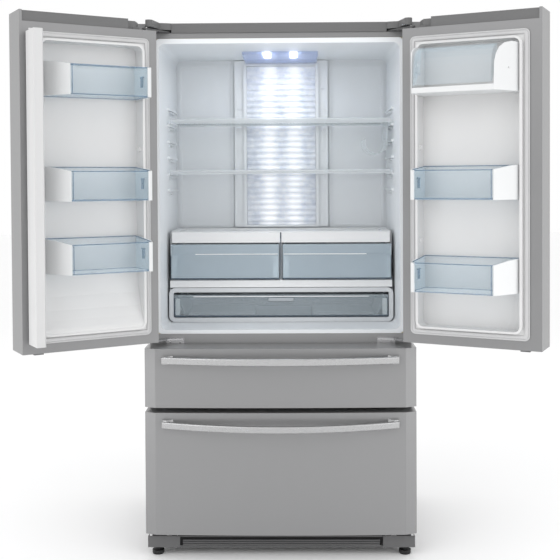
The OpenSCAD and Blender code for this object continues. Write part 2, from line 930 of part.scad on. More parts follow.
// Dark cap behind the raised edge, the bush for the upper pin and the lower bush
module door_caps() {
    x0 = axis_x - half + 96;
    difference() {
        union() {
            translate([0, 0, z_cap + 0.1])
                linear_extrude(z_door1 - z_cap - 2)
                    intersection() {
                        door_plan(3.2);
                        translate([x0, -40])
                            square([free_dx - 9.5 - x0, 120]);
                    }
            box([46, 20, z_cap + 0.1], [68, 60, z_cap + 9]);
            translate([0, 0, z_cap + 0.1])
                cylinder(r = 9, h = 6, $fn = 48);
            translate([0, 0, z_door0 - 4])
                cylinder(r = 9, h = 3.9, $fn = 48);
            box([free_dx - 70, 30, z_door0 - 6], [free_dx - 40, 60, z_door0 - 0.1]);
        }
        translate([0, 0, z_door0 - 10])
            cylinder(r = pin_r + pin_clear, h = 20);
        translate([0, 0, z_cap - 5])
            cylinder(r = pin_r + pin_clear, h = 20);
    }
}

// Upright bowed bar beside the free edge
module door_handle() {
    z0 = z_door0 + 190;
    z1 = z_door0 + 830;
    m = (z0 + z1) / 2;
    l = (z1 - z0) / 2;
    s = 40;
    r = (l * l + s * s) / (2 * s);
    a = asin(l / r);
    x = free_dx - 42;
    y = -pin_back - s - 8;
    translate([x, y + r, m])
        rotate([0, -90, 0])
            rotate([0, 0, -90 - a])
                rotate_extrude(angle = 2 * a, $fn = 360)
                    translate([r, 0])
                        round_rect([-6, -12], [6, 12], 5);
    for (z = [z0 + 8, z1 - 34])
        box([x - 13, -pin_back - 5, z], [x + 13, bow_y(axis_x - x - 13) - pin_back, z + 26]);
}

// Plan of a door bin, wider at the door than at its front
module bin_plan() {
    polygon([[50, 6], [50, bin_d + 30], [57, bin_d + 47], [bin_x1, bin_d + 52],
        [bin_x1 + 32, bin_d - 8], [pan_x1 - 12, 54], [pan_x1 - 12, 6]]);
}

module bin_inside(n) {
    polygon([[54 + n, n * 2], [54 + n, bin_d + 28 - n], [61 + n, bin_d + 60 - n * 5],
        [bin_x1 - 5 - n, bin_d + 60 - n * 5], [bin_x1 + 28 - n, bin_d - 10],
        [pan_x1 - 16 - n, 52], [pan_x1 - 16 - n, n * 2]]);
}

module bin_side() {
    across(0, pan_x1)
        polygon([[0, 0], [0, bin_h + 14], [70, bin_h + 14], [bin_d + 20, bin_h + 6],
            [bin_d + 60, bin_h - 1], [bin_d + 60, 0]]);
}

// Tinted floor, front and back of one bin
module bin_clear() {
    intersection() {
        bin_side();
        difference() {
            linear_extrude(200)
                intersection() {
                    bin_plan();
                    bin_inside(0.2);
                }
            translate([0, 0, 3])
                linear_extrude(200)
                    intersection() {
                        bin_inside(3.2);
                        translate([0, 9.5])
                            square([pan_x1, bin_d + 38]);
                    }
        }
    }
}

// White ends of one bin with the hook plate inside the hinge end
module bin_ends() {
    intersection() {
        bin_side();
        linear_extrude(200)
            difference() {
                bin_plan();
                bin_inside(0);
            }
    }
    translate([57.6, 66, bin_h * 0.45]) {
        box([0, 0, 24], [3, 30, 28]);
        for (y = [6, 18])
            box([0, y, -6], [3, y + 4, 26]);
    }
}

module mullion_plan() {
    x0 = mullion_x;
    y0 = dy_back + 8;
    polygon([[x0 + 7, y0], [x0 + mullion_w + 6, y0], [x0 + mullion_w + 6, y0 + mullion_t - 4],
        [x0 + mullion_w + 2, y0 + mullion_t], [x0 + 4, y0 + mullion_t],
        [x0, y0 + mullion_t - 4], [x0, y0 + 7]]);
}

// Flap that closes the gap between the doors, drawn folded against the open door
module mullion() {
    z0 = z_door0 + 35;
    z1 = z_cap - 34;
    color([0.92, 0.93, 0.94])
        on_left()
            translate([mullion_px, mullion_py, 0])
                rotate([0, 0, 90])
                    translate([-mullion_px, -mullion_py, 0])
                        difference() {
                            union() {
                                translate([0, 0, z0])
                                    linear_extrude(z1 - z0)
                                        mullion_plan();
                                translate([mullion_px + 20, mullion_py - 6, z1 - 1])
                                    cylinder(r = 6, h = 7, $fn = 32);
                            }
                            for (z = [z0 - 1, z1 - 24])
                                translate([mullion_px, mullion_py, z])
                                    cylinder(r = 3.06, h = 25);
                            box([mullion_px - 2, dy_back + 8 + mullion_t - 3, z0 + 14],
                                [mullion_px + 44, dy_back + 9 + mullion_t, z1 - 14]);
                        }
}

// Brackets and pins that carry the flap
module flap_brackets() {
    z0 = z_door0 + 35;
    z1 = z_cap - 34;
    color([0.92, 0.93, 0.94])
        on_left()
            for (s = [[z0 - 3.5, z0 - 0.5, z0 + 16], [z1 + 0.5, z1 + 3.5, z1 - 16]]) {
                box([mullion_px - 6, dy_back, s[0]], [mullion_px + 6, mullion_py + 6, s[1]]);
                translate([mullion_px, mullion_py, min(s[0] + 1, s[2])])
                    cylinder(r = 3, h = abs(s[2] - s[0] - 1));
            }
}

module left_skin() {
    color([0.62, 0.62, 0.63])
        on_left()
            door_skin();
}

module left_core() {
    color([0.93, 0.87, 0.66])
        on_left()
            door_core();
}

module left_liner() {
    color([0.92, 0.93, 0.94])
        on_left()
            door_liner(true, [open_z0 + 610]);
}

module left_gasket() {
    color([0.88, 0.89, 0.9])
        on_left()
            door_gasket();
}

module left_caps() {
    color([0.34, 0.34, 0.35])
        on_left()
            door_caps();
}

module left_handle() {
    color([0.75, 0.75, 0.76])
        on_left()
            door_handle();
}

module left_bins() {
    color([0.68, 0.8, 0.88])
        on_left()
            for (z = left_bin_z)
                translate([0, recess_y, z])
                    bin_clear();
}

module left_bin_ends() {
    color([0.93, 0.94, 0.95])
        on_left()
            for (z = left_bin_z)
                translate([0, recess_y, z])
                    bin_ends();
}

module right_skin() {
    color([0.62, 0.62, 0.63])
        on_right()
            door_skin();
}

module right_core() {
    color([0.93, 0.87, 0.66])
        on_right()
            door_core();
}

module right_liner() {
    color([0.92, 0.93, 0.94])
        on_right()
            door_liner(false, [open_z0 + 310, open_z0 + 610]);
}

module right_gasket() {
    color([0.88, 0.89, 0.9])
        on_right()
            door_gasket();
}

module right_caps() {
    color([0.34, 0.34, 0.35])
        on_right()
            door_caps();
}

module right_handle() {
    color([0.75, 0.75, 0.76])
        on_right()
            door_handle();
}

module right_bins() {
    color([0.68, 0.8, 0.88])
        on_right()
            for (z = right_bin_z)
                translate([0, recess_y, z])
                    bin_clear();
}

module right_bin_ends() {
    color([0.93, 0.94, 0.95])
        on_right()
            for (z = right_bin_z)
                translate([0, recess_y, z])
                    bin_ends();
}

// Side outline of the covered compartment
module dairy_side() {
    polygon([[6, 0], [6, 148], [78, 152], [104, 146], [126, 131], [140, 110], [147, 84],
        [bin_d + 51, 24], [bin_d + 52, 0]]);
}

module dairy_tray() {
    color([0.93, 0.94, 0.95])
        on_right()
            translate([0, recess_y, dairy_z])
                difference() {
                    union() {
                        intersection() {
                            linear_extrude(200)
                                difference() {
                                    bin_plan();
                                    bin_inside(0);
                                }
                            across(0, pan_x1)
                                dairy_side();
                        }
                        linear_extrude(4)
                            bin_plan();
                        intersection() {
                            linear_extrude(200)
                                bin_plan();
                            across(0, pan_x1)
                                polygon([[bin_d + 44, 0], [bin_d + 46, 16],
                                    [bin_d + 60, 20], [bin_d + 60, 0]]);
                        }
                    }
                    translate([40, dairy_y, dairy_up])
                        rotate([0, 90, 0])
                            cylinder(r = 3.06, h = pan_x1 - 24);
                }
}

// Curved flap that lifts about the pins in the tray ends
module dairy_cover() {
    color([0.68, 0.8, 0.88])
        on_right()
            translate([0, recess_y, dairy_z]) {
                across(63, bin_x1 - 8)
                    polygon([[bin_d + 47, 24], [bin_d + 49, 24], [144, 84], [137, 109],
                        [124, 129], [103, 143],
                        [78, 149], [68, 149], [68, 146], [77, 146], [102, 140], [122, 127], [134, 108],
                        [141, 83], [bin_d + 44, 50]]);
                for (x = [63, bin_x1 - 11])
                    across(x, x + 3)
                        difference() {
                            polygon([[dairy_y - 9, dairy_up - 9], [dairy_y + 9, dairy_up - 9],
                                [bin_d + 46, 25], [142, 84], [135, 108], [122, 128], [102, 141],
                                [78, 147.5], [dairy_y - 12, 120]]);
                            translate([dairy_y + 14, dairy_up + 22])
                                circle(r = 9, $fn = 32);
                        }
                translate([51, dairy_y, dairy_up])
                    rotate([0, 90, 0])
                        cylinder(r = 3, h = 12.5);
                translate([bin_x1 - 8.5, dairy_y, dairy_up])
                    rotate([0, 90, 0])
                        cylinder(r = 3, h = 30);
            }
}

module drawer_skin(z0, z1) {
    difference() {
        translate([0, 0, z0])
            linear_extrude(z1 - z0)
                front_plan();
        translate([0, 0, z0 + skin])
            linear_extrude(z1 - z0 - 2 * skin)
                front_plan(skin);
        upright(front_t - 5, front_t + 5)
            round_rect([-half + 40, z0 + 16], [half - 40, z1 - 16], 8);
    }
}

// Filling, inner panel and gasket behind a drawer front
module drawer_back(z0, z1, lo, hi) {
    translate([0, 0, z0 + skin + 0.1])
        linear_extrude(z1 - z0 - 2 * skin - 0.2)
            front_plan(skin + 0.1);
    upright(front_t - 3, front_t + 1.5)
        round_rect([-half + 41, z0 + 17], [half - 41, z1 - 17], 8);
    upright(front_t, front_t + 26)
        round_rect([-freezer_x + 10, lo], [freezer_x - 10, hi], 14);
    ring([-freezer_x - 8, lo - 12], [freezer_x + 8, hi + 9], 12, 14, front_t + 1, front_t + gasket_t);
}

// Curved bar across a drawer front
module drawer_handle(z, tilt) {
    l = half - 62;
    s = 44;
    r = (l * l + s * s) / (2 * s);
    a = asin(l / r);
    translate([0, 10, z])
        rotate([tilt, 0, 0])
            translate([0, r - s - 18, 0])
                rotate([0, 0, -90 - a])
                    rotate_extrude(angle = 2 * a, $fn = 360)
                        translate([r, 0])
                            round_rect([-6, -12], [6, 12], 5);
    both()
        translate([0, 0, z - 13])
            linear_extrude(26)
                polygon([[-l + 2, bow_y(l - 2)], [-l - 3, -2], [-l + 2, -9], [-l + 14, -13],
                    [-l + 34, bow_y(l - 34)]]);
}

module basket(lo, hi, y1, rail) {
    x = freezer_x - 26;
    difference() {
        union() {
            tray([-x, face + 20, lo], [x, y1, hi], 2.5);
            both()
                box([-x - 8, face + 20, hi - 8], [-x + 1, y1, hi]);
            both()
                box([-freezer_x + 4.4, face + 18, rail - 10.6], [-x + 2, y1 + 10, rail + 10.6]);
        }
        for (x2 = [-x + 60 : 80 : x - 60])
            box([x2, face + 40, lo - 1], [x2 + 30, y1 - 40, lo + 4]);
    }
}

module upper_front() {
    color([0.6, 0.6, 0.61])
        placed()
            drawer_skin(z_up0, z_up1);
}

module upper_back() {
    color([0.9, 0.91, 0.92])
        placed()
            drawer_back(z_up0, z_up1, z_up0 + 16, z_up1 - 46);
}

module upper_handle() {
    color([0.75, 0.75, 0.76])
        placed()
            drawer_handle(z_up1 - 36, 0);
}

module upper_basket() {
    color([0.8, 0.86, 0.9])
        placed()
            basket(z_up0 + 18, z_up1 - 50, face + 440, z_up0 + 60);
}

module lower_front() {
    color([0.6, 0.6, 0.61])
        placed()
            drawer_skin(z_low0, z_low1);
}

module lower_back() {
    color([0.9, 0.91, 0.92])
        placed()
            drawer_back(z_low0, z_low1, z_low0 + 28, z_low1 - 22);
}

module lower_handle() {
    color([0.75, 0.75, 0.76])
        placed()
            drawer_handle(z_low1 - 34, 9);
}

module lower_basket() {
    color([0.8, 0.86, 0.9])
        placed()
            basket(z_low0 + 32, z_low1 - 26, step_y - 40, z_low0 + 300);
}

cabinet_shell();
rear_panel();
fridge_liner();
freezer_liner();
insulation();
cross_rails();
top_cover();
upper_hinges();
middle_hinges();
hinge_screws();
base_frame();
kick_grille();
front_feet();
rear_rollers();
compressor();
condenser();
fan_motor();
fan_rotor();
duct_cover();
light_diffuser();
lamp_lens();
lamp_leds();
shelf_glass();
shelf_trims();
bottle_rack();
crisper_shelf();
crisper_left();
crisper_right();
pantry_surround();
pantry_drawer();
pantry_latch();
drawer_runners();
left_skin();
left_core();
left_liner();
left_gasket();
left_caps();
left_handle();
left_bins();
left_bin_ends();
flap_brackets();
mullion();
right_skin();
right_core();
right_liner();
right_gasket();
right_caps();
right_handle();
right_bins();
right_bin_ends();
dairy_tray();
dairy_cover();
upper_front();
upper_back();
upper_handle();
upper_basket();
lower_front();
lower_back();
lower_handle();
lower_basket();
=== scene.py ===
# French door refrigerator, doors open, with its light on.
import bmesh
import bpy
import math
from mathutils import Euler, Matrix, Vector
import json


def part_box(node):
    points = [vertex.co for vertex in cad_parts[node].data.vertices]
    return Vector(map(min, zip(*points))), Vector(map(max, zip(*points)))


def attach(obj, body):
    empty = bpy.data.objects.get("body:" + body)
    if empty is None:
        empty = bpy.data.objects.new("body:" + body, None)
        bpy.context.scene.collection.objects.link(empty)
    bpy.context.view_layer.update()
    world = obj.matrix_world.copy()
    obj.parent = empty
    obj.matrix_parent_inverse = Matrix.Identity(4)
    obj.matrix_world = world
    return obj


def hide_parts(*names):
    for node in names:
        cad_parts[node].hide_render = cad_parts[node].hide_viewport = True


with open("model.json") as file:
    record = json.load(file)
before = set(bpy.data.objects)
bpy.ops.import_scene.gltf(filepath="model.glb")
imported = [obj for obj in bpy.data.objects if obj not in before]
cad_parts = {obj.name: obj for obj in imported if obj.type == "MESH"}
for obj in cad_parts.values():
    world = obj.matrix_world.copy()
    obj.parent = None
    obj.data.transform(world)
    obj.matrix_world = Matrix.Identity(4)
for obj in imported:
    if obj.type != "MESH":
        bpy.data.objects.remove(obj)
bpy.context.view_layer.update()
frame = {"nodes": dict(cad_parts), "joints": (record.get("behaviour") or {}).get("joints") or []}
print("stage: frame loaded")

# Camera and lights

cameraSettings = {
    "place": (0.0506, -3.418, 1.2627),
    "tiltDown": 1.283,
    "turn": 0.851,
    "roll": -0.321,
    "lens": 62.94,
    "sensorWidth": 36,
    "shiftY": -0.1378,
    "farthest": 60,
}


def aimAt(obj, target):
    way = Vector(target) - obj.location
    obj.rotation_euler = way.to_track_quat("-Z", "Y").to_euler()


def addCamera(settings):
    data = bpy.data.cameras.new("camera")
    cam = bpy.data.objects.new("camera", data)
    bpy.context.scene.collection.objects.link(cam)
    tilt, turn = math.radians(90 - settings["tiltDown"]), math.radians(settings["turn"])
    upright = Euler((tilt, 0, turn)).to_matrix()
    rolled = upright @ Matrix.Rotation(math.radians(settings["roll"]), 3, "Z")
    cam.location = settings["place"]
    cam.rotation_euler = rolled.to_euler()
    data.lens = settings["lens"]
    data.sensor_width = settings["sensorWidth"]
    data.shift_y = settings["shiftY"]
    data.clip_end = settings["farthest"]
    bpy.context.scene.camera = cam


lightSettings = {
    "worldColor": (1.0, 1.0, 1.0),
    "worldStrength": 1.0,
    "areas": [  # name, place, aim, size, watts
        ("keySoftbox", (-2.2, -3.6, 3.4), (0, 0, 0.9), 2.6, 26),
        ("fillSoftbox", (2.6, -3.4, 2.4), (0, 0, 0.9), 2.8, 18),
        ("backSoftbox", (0, 3.2, 3.2), (0, 0, 1.0), 3.0, 14),
        ("leftStrip", (-2.6, -1.2, 0.5), (-0.2, -0.2, 0.4), 1.4, 9),
        ("rightStrip", (2.6, -1.2, 0.5), (0.2, -0.2, 0.4), 1.4, 9),
        ("innerLamp", (0, 0.2, 1.712), (0, 0.17, 0.7), 0.2, 0.42),
    ],
}


def addLights(settings):
    world = bpy.data.worlds.new("studio")
    bpy.context.scene.world = world
    world.use_nodes = True
    background = world.node_tree.nodes["Background"]
    background.inputs["Color"].default_value = (*settings["worldColor"], 1)
    background.inputs["Strength"].default_value = settings["worldStrength"]
    for name, place, aim, size, watts in settings["areas"]:
        data = bpy.data.lights.new(name, "AREA")
        data.shape = "DISK"
        data.size = size
        data.energy = watts
        lamp = bpy.data.objects.new(name, data)
        lamp.location = place
        aimAt(lamp, aim)
        bpy.context.scene.collection.objects.link(lamp)


addCamera(cameraSettings)
addLights(lightSettings)
bpy.context.scene.view_settings.view_transform = "Standard"
print("stage: camera and lights")

# Materials, all on object coordinates in metres


def newMaterial(name):
    mat = bpy.data.materials.new(name)
    mat.use_nodes = True
    tree = mat.node_tree
    shader = tree.nodes["Principled BSDF"]
    coords = tree.nodes.new("ShaderNodeTexCoord")
    mapping = tree.nodes.new("ShaderNodeMapping")
    tree.links.new(coords.outputs["Object"], mapping.inputs["Vector"])
    return mat, tree, shader, mapping


def addNoise(tree, mapping, scale, detail=3.0, roughness=0.5):
    noise = tree.nodes.new("ShaderNodeTexNoise")
    noise.inputs["Scale"].default_value = scale
    noise.inputs["Detail"].default_value = detail
    noise.inputs["Roughness"].default_value = roughness
    tree.links.new(mapping.outputs["Vector"], noise.inputs["Vector"])
    return noise


def remap(tree, source, low, high):
    node = tree.nodes.new("ShaderNodeMapRange")
    node.inputs["To Min"].default_value = low
    node.inputs["To Max"].default_value = high
    tree.links.new(source, node.inputs["Value"])
    return node.outputs["Result"]


def tintBetween(tree, factor, dark, light):
    mix = tree.nodes.new("ShaderNodeMix")
    mix.data_type = "RGBA"
    mix.inputs[6].default_value = (*dark, 1)
    mix.inputs[7].default_value = (*light, 1)
    tree.links.new(factor, mix.inputs[0])
    return mix.outputs[2]


def addBump(tree, shader, height, strength, distance):
    bump = tree.nodes.new("ShaderNodeBump")
    bump.inputs["Strength"].default_value = strength
    bump.inputs["Distance"].default_value = distance
    tree.links.new(height, bump.inputs["Height"])
    tree.links.new(bump.outputs["Normal"], shader.inputs["Normal"])


# One step of arithmetic on plain numbers or on the outputs of other nodes
def mathStep(tree, operation, *values):
    node = tree.nodes.new("ShaderNodeMath")
    node.operation = operation
    for entry, value in zip(node.inputs, values):
        if isinstance(value, (int, float)):
            entry.default_value = value
        else:
            tree.links.new(value, entry)
    return node.outputs[0]


# The color made darker or lighter
def toned(color, factor):
    return tuple(min(c * factor, 1) for c in color)


# Lacquered sheet steel: faint orange peel, a fine metallic fleck and soft cloudy tone
def paintedSheet(name, color, metallic=0.35, rough=0.38, spread=0.03, fleck=900):
    mat, tree, shader, mapping = newMaterial(name)
    clouds = addNoise(tree, mapping, 2.2, 4).outputs["Fac"]
    grain = addNoise(tree, mapping, fleck, 2).outputs["Fac"]
    tone = mathStep(tree, "MULTIPLY_ADD", grain, 0.35, remap(tree, clouds, 0.0, 0.65))
    tint = tintBetween(tree, tone, toned(color, 1 - spread), toned(color, 1 + spread))
    tree.links.new(tint, shader.inputs["Base Color"])
    tree.links.new(remap(tree, clouds, rough - 0.05, rough + 0.05), shader.inputs["Roughness"])
    shader.inputs["Metallic"].default_value = metallic
    shader.inputs["Coat Weight"].default_value = 0.15
    shader.inputs["Coat Roughness"].default_value = 0.25
    peel = addNoise(tree, mapping, 260, 1)
    addBump(tree, shader, peel.outputs["Fac"], 0.06, 0.0004)
    return mat


# Metal brushed along one axis
def brushedMetal(name, color, along, rough=0.3, metallic=1.0):
    mat, tree, shader, mapping = newMaterial(name)
    stretch = {"x": (6, 700, 700), "y": (700, 6, 700), "z": (700, 700, 6)}
    mapping.inputs["Scale"].default_value = stretch[along]
    lines = addNoise(tree, mapping, 1.0, 2).outputs["Fac"]
    tree.links.new(tintBetween(tree, lines, toned(color, 0.95), color), shader.inputs["Base Color"])
    tree.links.new(remap(tree, lines, rough - 0.07, rough + 0.08), shader.inputs["Roughness"])
    shader.inputs["Metallic"].default_value = metallic
    shader.inputs["Anisotropic"].default_value = 0.4
    addBump(tree, shader, lines, 0.02, 0.0002)
    return mat


# Moulded plastic with a fine spark texture
def mouldedPlastic(name, color, rough=0.4, grainScale=700, bump=0.12, spread=0.02):
    mat, tree, shader, mapping = newMaterial(name)
    clouds = addNoise(tree, mapping, 5, 3).outputs["Fac"]
    grain = addNoise(tree, mapping, grainScale, 2).outputs["Fac"]
    tint = tintBetween(tree, clouds, toned(color, 1 - spread), toned(color, 1 + spread))
    tree.links.new(tint, shader.inputs["Base Color"])
    tree.links.new(remap(tree, grain, rough - 0.06, rough + 0.06), shader.inputs["Roughness"])
    shader.inputs["Specular IOR Level"].default_value = 0.4
    addBump(tree, shader, grain, bump, 0.0002)
    return mat


# Clear or tinted plastic: see-through, less so where it is seen edge on, with slight flow marks
def clearPlastic(name, color, faceOn, edgeOn, rough=0.12):
    mat, tree, shader, mapping = newMaterial(name)
    flow = addNoise(tree, mapping, 9, 2).outputs["Fac"]
    tree.links.new(tintBetween(tree, flow, color, toned(color, 1.08)), shader.inputs["Base Color"])
    rim = tree.nodes.new("ShaderNodeLayerWeight")
    rim.inputs["Blend"].default_value = 0.3
    tree.links.new(remap(tree, rim.outputs["Facing"], faceOn, edgeOn), shader.inputs["Alpha"])
    tree.links.new(remap(tree, flow, rough - 0.04, rough + 0.04), shader.inputs["Roughness"])
    shader.inputs["Specular IOR Level"].default_value = 0.7
    addBump(tree, shader, flow, 0.1, 0.0006)
    mat.surface_render_method = "BLENDED"
    return mat


# Shared by the glow of the light panel and by its ribs
panelSettings = {
    "columns": (-0.045, 0.052),  # where the two lamps shine down
    "falloff": -700,
    "pitch": 0.0223,
    "firstRib": 0.017,
    "ribRadius": 0.0075,
    "ribDepth": 0.75,
    "thickness": 0.006,
    "ribOverlap": 0.0005,
    "endGap": 0.001,
}


# Light panel: two bright columns, softer to the sides, with a band for each rib
def glowingPanel(name, color, strength, bandStart=0.0):
    settings = panelSettings
    mat, tree, shader, mapping = newMaterial(name)
    parts = tree.nodes.new("ShaderNodeSeparateXYZ")
    tree.links.new(mapping.outputs["Vector"], parts.inputs["Vector"])
    bells = []
    for column in settings["columns"]:
        offset = mathStep(tree, "SUBTRACT", parts.outputs["X"], column)
        square = mathStep(tree, "MULTIPLY", offset, offset)
        bells.append(mathStep(tree, "EXPONENT", mathStep(tree, "MULTIPLY", square, settings["falloff"])))
    total = mathStep(tree, "ADD", *bells)
    frost = addNoise(tree, mapping, 40, 3).outputs["Fac"]
    bands = tree.nodes.new("ShaderNodeTexWave")
    bands.wave_type = "BANDS"
    bands.bands_direction = "Z"
    bands.inputs["Scale"].default_value = math.tau / 20 / settings["pitch"]
    bands.inputs["Phase Offset"].default_value = math.pi / 2 - math.tau * bandStart / settings["pitch"]
    tree.links.new(mapping.outputs["Vector"], bands.inputs["Vector"])
    waved = mathStep(tree, "MULTIPLY", total, remap(tree, bands.outputs["Fac"], 0.35, 1.0))
    haze = remap(tree, frost, strength * 0.12, strength * 0.2)
    white = (1, 1, 1)
    tree.links.new(tintBetween(tree, total, color, white), shader.inputs["Emission Color"])
    glow = mathStep(tree, "MULTIPLY_ADD", waved, strength, haze)
    tree.links.new(glow, shader.inputs["Emission Strength"])
    tree.links.new(tintBetween(tree, frost, color, white), shader.inputs["Base Color"])
    shader.inputs["Roughness"].default_value = 0.35
    return mat


# Sprayed foam with open pores
def foamBlock(name, color):
    mat, tree, shader, mapping = newMaterial(name)
    pores = tree.nodes.new("ShaderNodeTexVoronoi")
    pores.inputs["Scale"].default_value = 320
    tree.links.new(mapping.outputs["Vector"], pores.inputs["Vector"])
    tint = tintBetween(tree, pores.outputs["Distance"], toned(color, 0.75), color)
    tree.links.new(tint, shader.inputs["Base Color"])
    shader.inputs["Roughness"].default_value = 0.85
    addBump(tree, shader, pores.outputs["Distance"], 0.4, 0.001)
    return mat


def softRubber(name, color, rough=0.55):
    mat, tree, shader, mapping = newMaterial(name)
    clouds = addNoise(tree, mapping, 30, 4).outputs["Fac"]
    tree.links.new(tintBetween(tree, clouds, toned(color, 0.93), color), shader.inputs["Base Color"])
    tree.links.new(remap(tree, clouds, rough - 0.08, rough + 0.08), shader.inputs["Roughness"])
    addBump(tree, shader, clouds, 0.15, 0.0005)
    return mat


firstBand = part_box("light_diffuser")[0].z + panelSettings["firstRib"]
finishRows = [
    (paintedSheet, "silverPaint", (0.25, 0.25, 0.253)),
    (paintedSheet, "frontPaint", (0.278, 0.278, 0.281), 0.45, 0.34),
    (paintedSheet, "railPaint", (0.32, 0.32, 0.323)),
    (mouldedPlastic, "darkTrim", (0.15, 0.15, 0.151), 0.5),
    (paintedSheet, "backPaint", (0.3, 0.31, 0.32), 0.5, 0.5),
    (paintedSheet, "blackPaint", (0.02, 0.02, 0.022), 0.1, 0.3, 0.2),
    (mouldedPlastic, "linerWhite", (0.86, 0.885, 0.91), 0.32, 900, 0.05),
    (mouldedPlastic, "doorWhite", (0.7, 0.7, 0.7), 0.42, 900, 0.06),
    (mouldedPlastic, "whitePlastic", (0.82, 0.83, 0.84), 0.3, 800, 0.05),
    (foamBlock, "foam", (0.86, 0.78, 0.52)),
    (brushedMetal, "hingeSteel", (0.6, 0.6, 0.61), "x", 0.25),
    (brushedMetal, "barSteel", (0.5, 0.5, 0.503), "x", 0.27),
    (brushedMetal, "barSteelUpright", (0.55, 0.55, 0.553), "z", 0.28),
    (mouldedPlastic, "greyPlastic", (0.12, 0.12, 0.122), 0.45),
    (mouldedPlastic, "latchGrey", (0.42, 0.45, 0.48), 0.35),
    (mouldedPlastic, "footPlastic", (0.012, 0.012, 0.013), 0.5),
    (brushedMetal, "copperTube", (0.78, 0.42, 0.25), "x", 0.3),
    (glowingPanel, "lightPanel", (0.52, 0.58, 0.7), 0.42, firstBand),
    (glowingPanel, "ledGlow", (0.9, 0.94, 1.0), 9),
    (clearPlastic, "lampLens", (0.5, 0.62, 1.0), 0.25, 0.6),
    (clearPlastic, "shelfGlass", (0.72, 0.84, 0.84), 0.1, 0.5, 0.06),
    (clearPlastic, "shelfTrim", (0.8, 0.84, 0.87), 0.5, 0.9, 0.14),
    (clearPlastic, "clearRack", (0.8, 0.87, 0.9), 0.16, 0.6),
    (clearPlastic, "crisperClear", (0.78, 0.88, 0.95), 0.12, 0.75),
    (clearPlastic, "pantryClear", (0.74, 0.84, 0.9), 0.1, 0.75),
    (clearPlastic, "freezerClear", (0.6, 0.7, 0.76), 0.25, 0.6),
    (clearPlastic, "binBlue", (0.66, 0.84, 1.0), 0.07, 0.34),
    (clearPlastic, "binRim", (0.1, 0.22, 0.36), 0.45, 0.8),
    (clearPlastic, "crisperFront", (0.68, 0.8, 0.89), 0.34, 0.8, 0.08),
    (clearPlastic, "pantryFront", (0.56, 0.64, 0.69), 0.25, 0.75, 0.08),
    # Near-black: the dark joint and risers, and painted shade in the gaps round the crisper fronts
    (clearPlastic, "clearEdge", (0.02, 0.05, 0.09), 0.8, 0.95, 0.2),
    # Pure white and nearly opaque: a painted highlight along the crisper ridges
    (clearPlastic, "ridgeClear", (1.0, 1.0, 1.0), 0.95, 1.0, 0.1),
    (mouldedPlastic, "flapWhite", (0.62, 0.62, 0.622), 0.4, 900, 0.05),
    (clearPlastic, "clearEndWall", (0.88, 0.96, 1.0), 0.6, 0.85, 0.1),
    (mouldedPlastic, "binWhite", (0.74, 0.75, 0.755), 0.34, 800, 0.05),
    # White greyed down as painted shade, for the shadowed sill under the wide drawer
    (mouldedPlastic, "surroundWhite", (0.66, 0.68, 0.7), 0.34, 800, 0.05),
    (mouldedPlastic, "slotShadow", (0.012, 0.012, 0.013), 0.7),
    (clearPlastic, "trimLine", (0.3, 0.36, 0.41), 0.8, 0.95, 0.15),
    (paintedSheet, "hingePaint", (0.12, 0.12, 0.122), 0.4, 0.42),
    (softRubber, "gasketWhite", (0.56, 0.56, 0.565)),
]
finishes = {name: make(name, *values) for make, name, *values in finishRows}

finishOf = {
    "silverPaint": ["cabinet_shell", "left_skin", "right_skin"],
    "frontPaint": ["upper_front", "lower_front"],
    "railPaint": ["cross_rails"],
    "darkTrim": ["top_cover", "left_caps", "right_caps"],
    "backPaint": ["rear_panel"],
    "blackPaint": ["base_frame", "compressor"],
    "linerWhite": ["fridge_liner", "freezer_liner", "duct_cover"],
    "doorWhite": ["left_liner", "right_liner", "upper_back", "lower_back"],
    "whitePlastic": ["crisper_shelf", "flap_brackets"],
    "binWhite": ["left_bin_ends", "right_bin_ends", "dairy_tray"],
    "surroundWhite": ["pantry_surround"],
    "flapWhite": ["mullion"],
    "hingePaint": ["upper_hinges"],
    "foam": ["insulation", "left_core", "right_core"],
    "hingeSteel": ["middle_hinges", "hinge_screws", "drawer_runners"],
    "barSteel": ["upper_handle", "lower_handle"],
    "barSteelUpright": ["left_handle", "right_handle"],
    "greyPlastic": ["kick_grille", "fan_motor", "fan_rotor"],
    "latchGrey": ["pantry_latch"],
    "footPlastic": ["front_feet", "rear_rollers"],
    "copperTube": ["condenser"],
    "lightPanel": ["light_diffuser"],
    "ledGlow": ["lamp_leds"],
    "lampLens": ["lamp_lens"],
    "shelfGlass": ["shelf_glass"],
    "shelfTrim": ["shelf_trims"],
    "clearRack": ["bottle_rack"],
    "crisperClear": ["crisper_left", "crisper_right"],
    "pantryClear": ["pantry_drawer"],
    "freezerClear": ["upper_basket", "lower_basket"],
    "binBlue": ["left_bins", "right_bins", "dairy_cover"],
    "gasketWhite": ["left_gasket", "right_gasket"],
}
nodes = frame["nodes"]
for finish, names in finishOf.items():
    for name in names:
        part = nodes[name]
        part.data.materials.clear()
        part.data.materials.append(finishes[finish])
print("stage: materials on", sum(len(n) for n in finishOf.values()), "nodes")

# Tools for the pieces


def jointNamed(name):
    return next(joint for joint in frame["joints"] if joint["name"] == name)


# Turns door coordinates, drawn shut with the pin at the origin, into the frame
def doorMatrix(side):
    joint = jointNamed(side + "_door_hinge")
    x, y = joint["pos_m"][:2]
    place = Matrix.Translation((x, y, 0))
    if side == "right":
        place = place @ Matrix.Scale(-1, 4, (1, 0, 0))
    return place @ Matrix.Rotation(math.radians(joint["range_deg"][0]), 4, "Z")


def boxOf(places):
    low = Vector([min(p[k] for p in places) for k in range(3)])
    high = Vector([max(p[k] for p in places) for k in range(3)])
    return low, high


def doorBox(side, node):
    back = doorMatrix(side).inverted()
    return boxOf([back @ v.co for v in nodes[node].data.vertices])


# Heights at which the separate levels of a node begin
def levelsOf(node, apart=0.06):
    heights = sorted(v.co.z for v in nodes[node].data.vertices)
    found = [heights[0]]
    for low, high in zip(heights, heights[1:]):
        if high - low > apart:
            found.append(high)
    return found


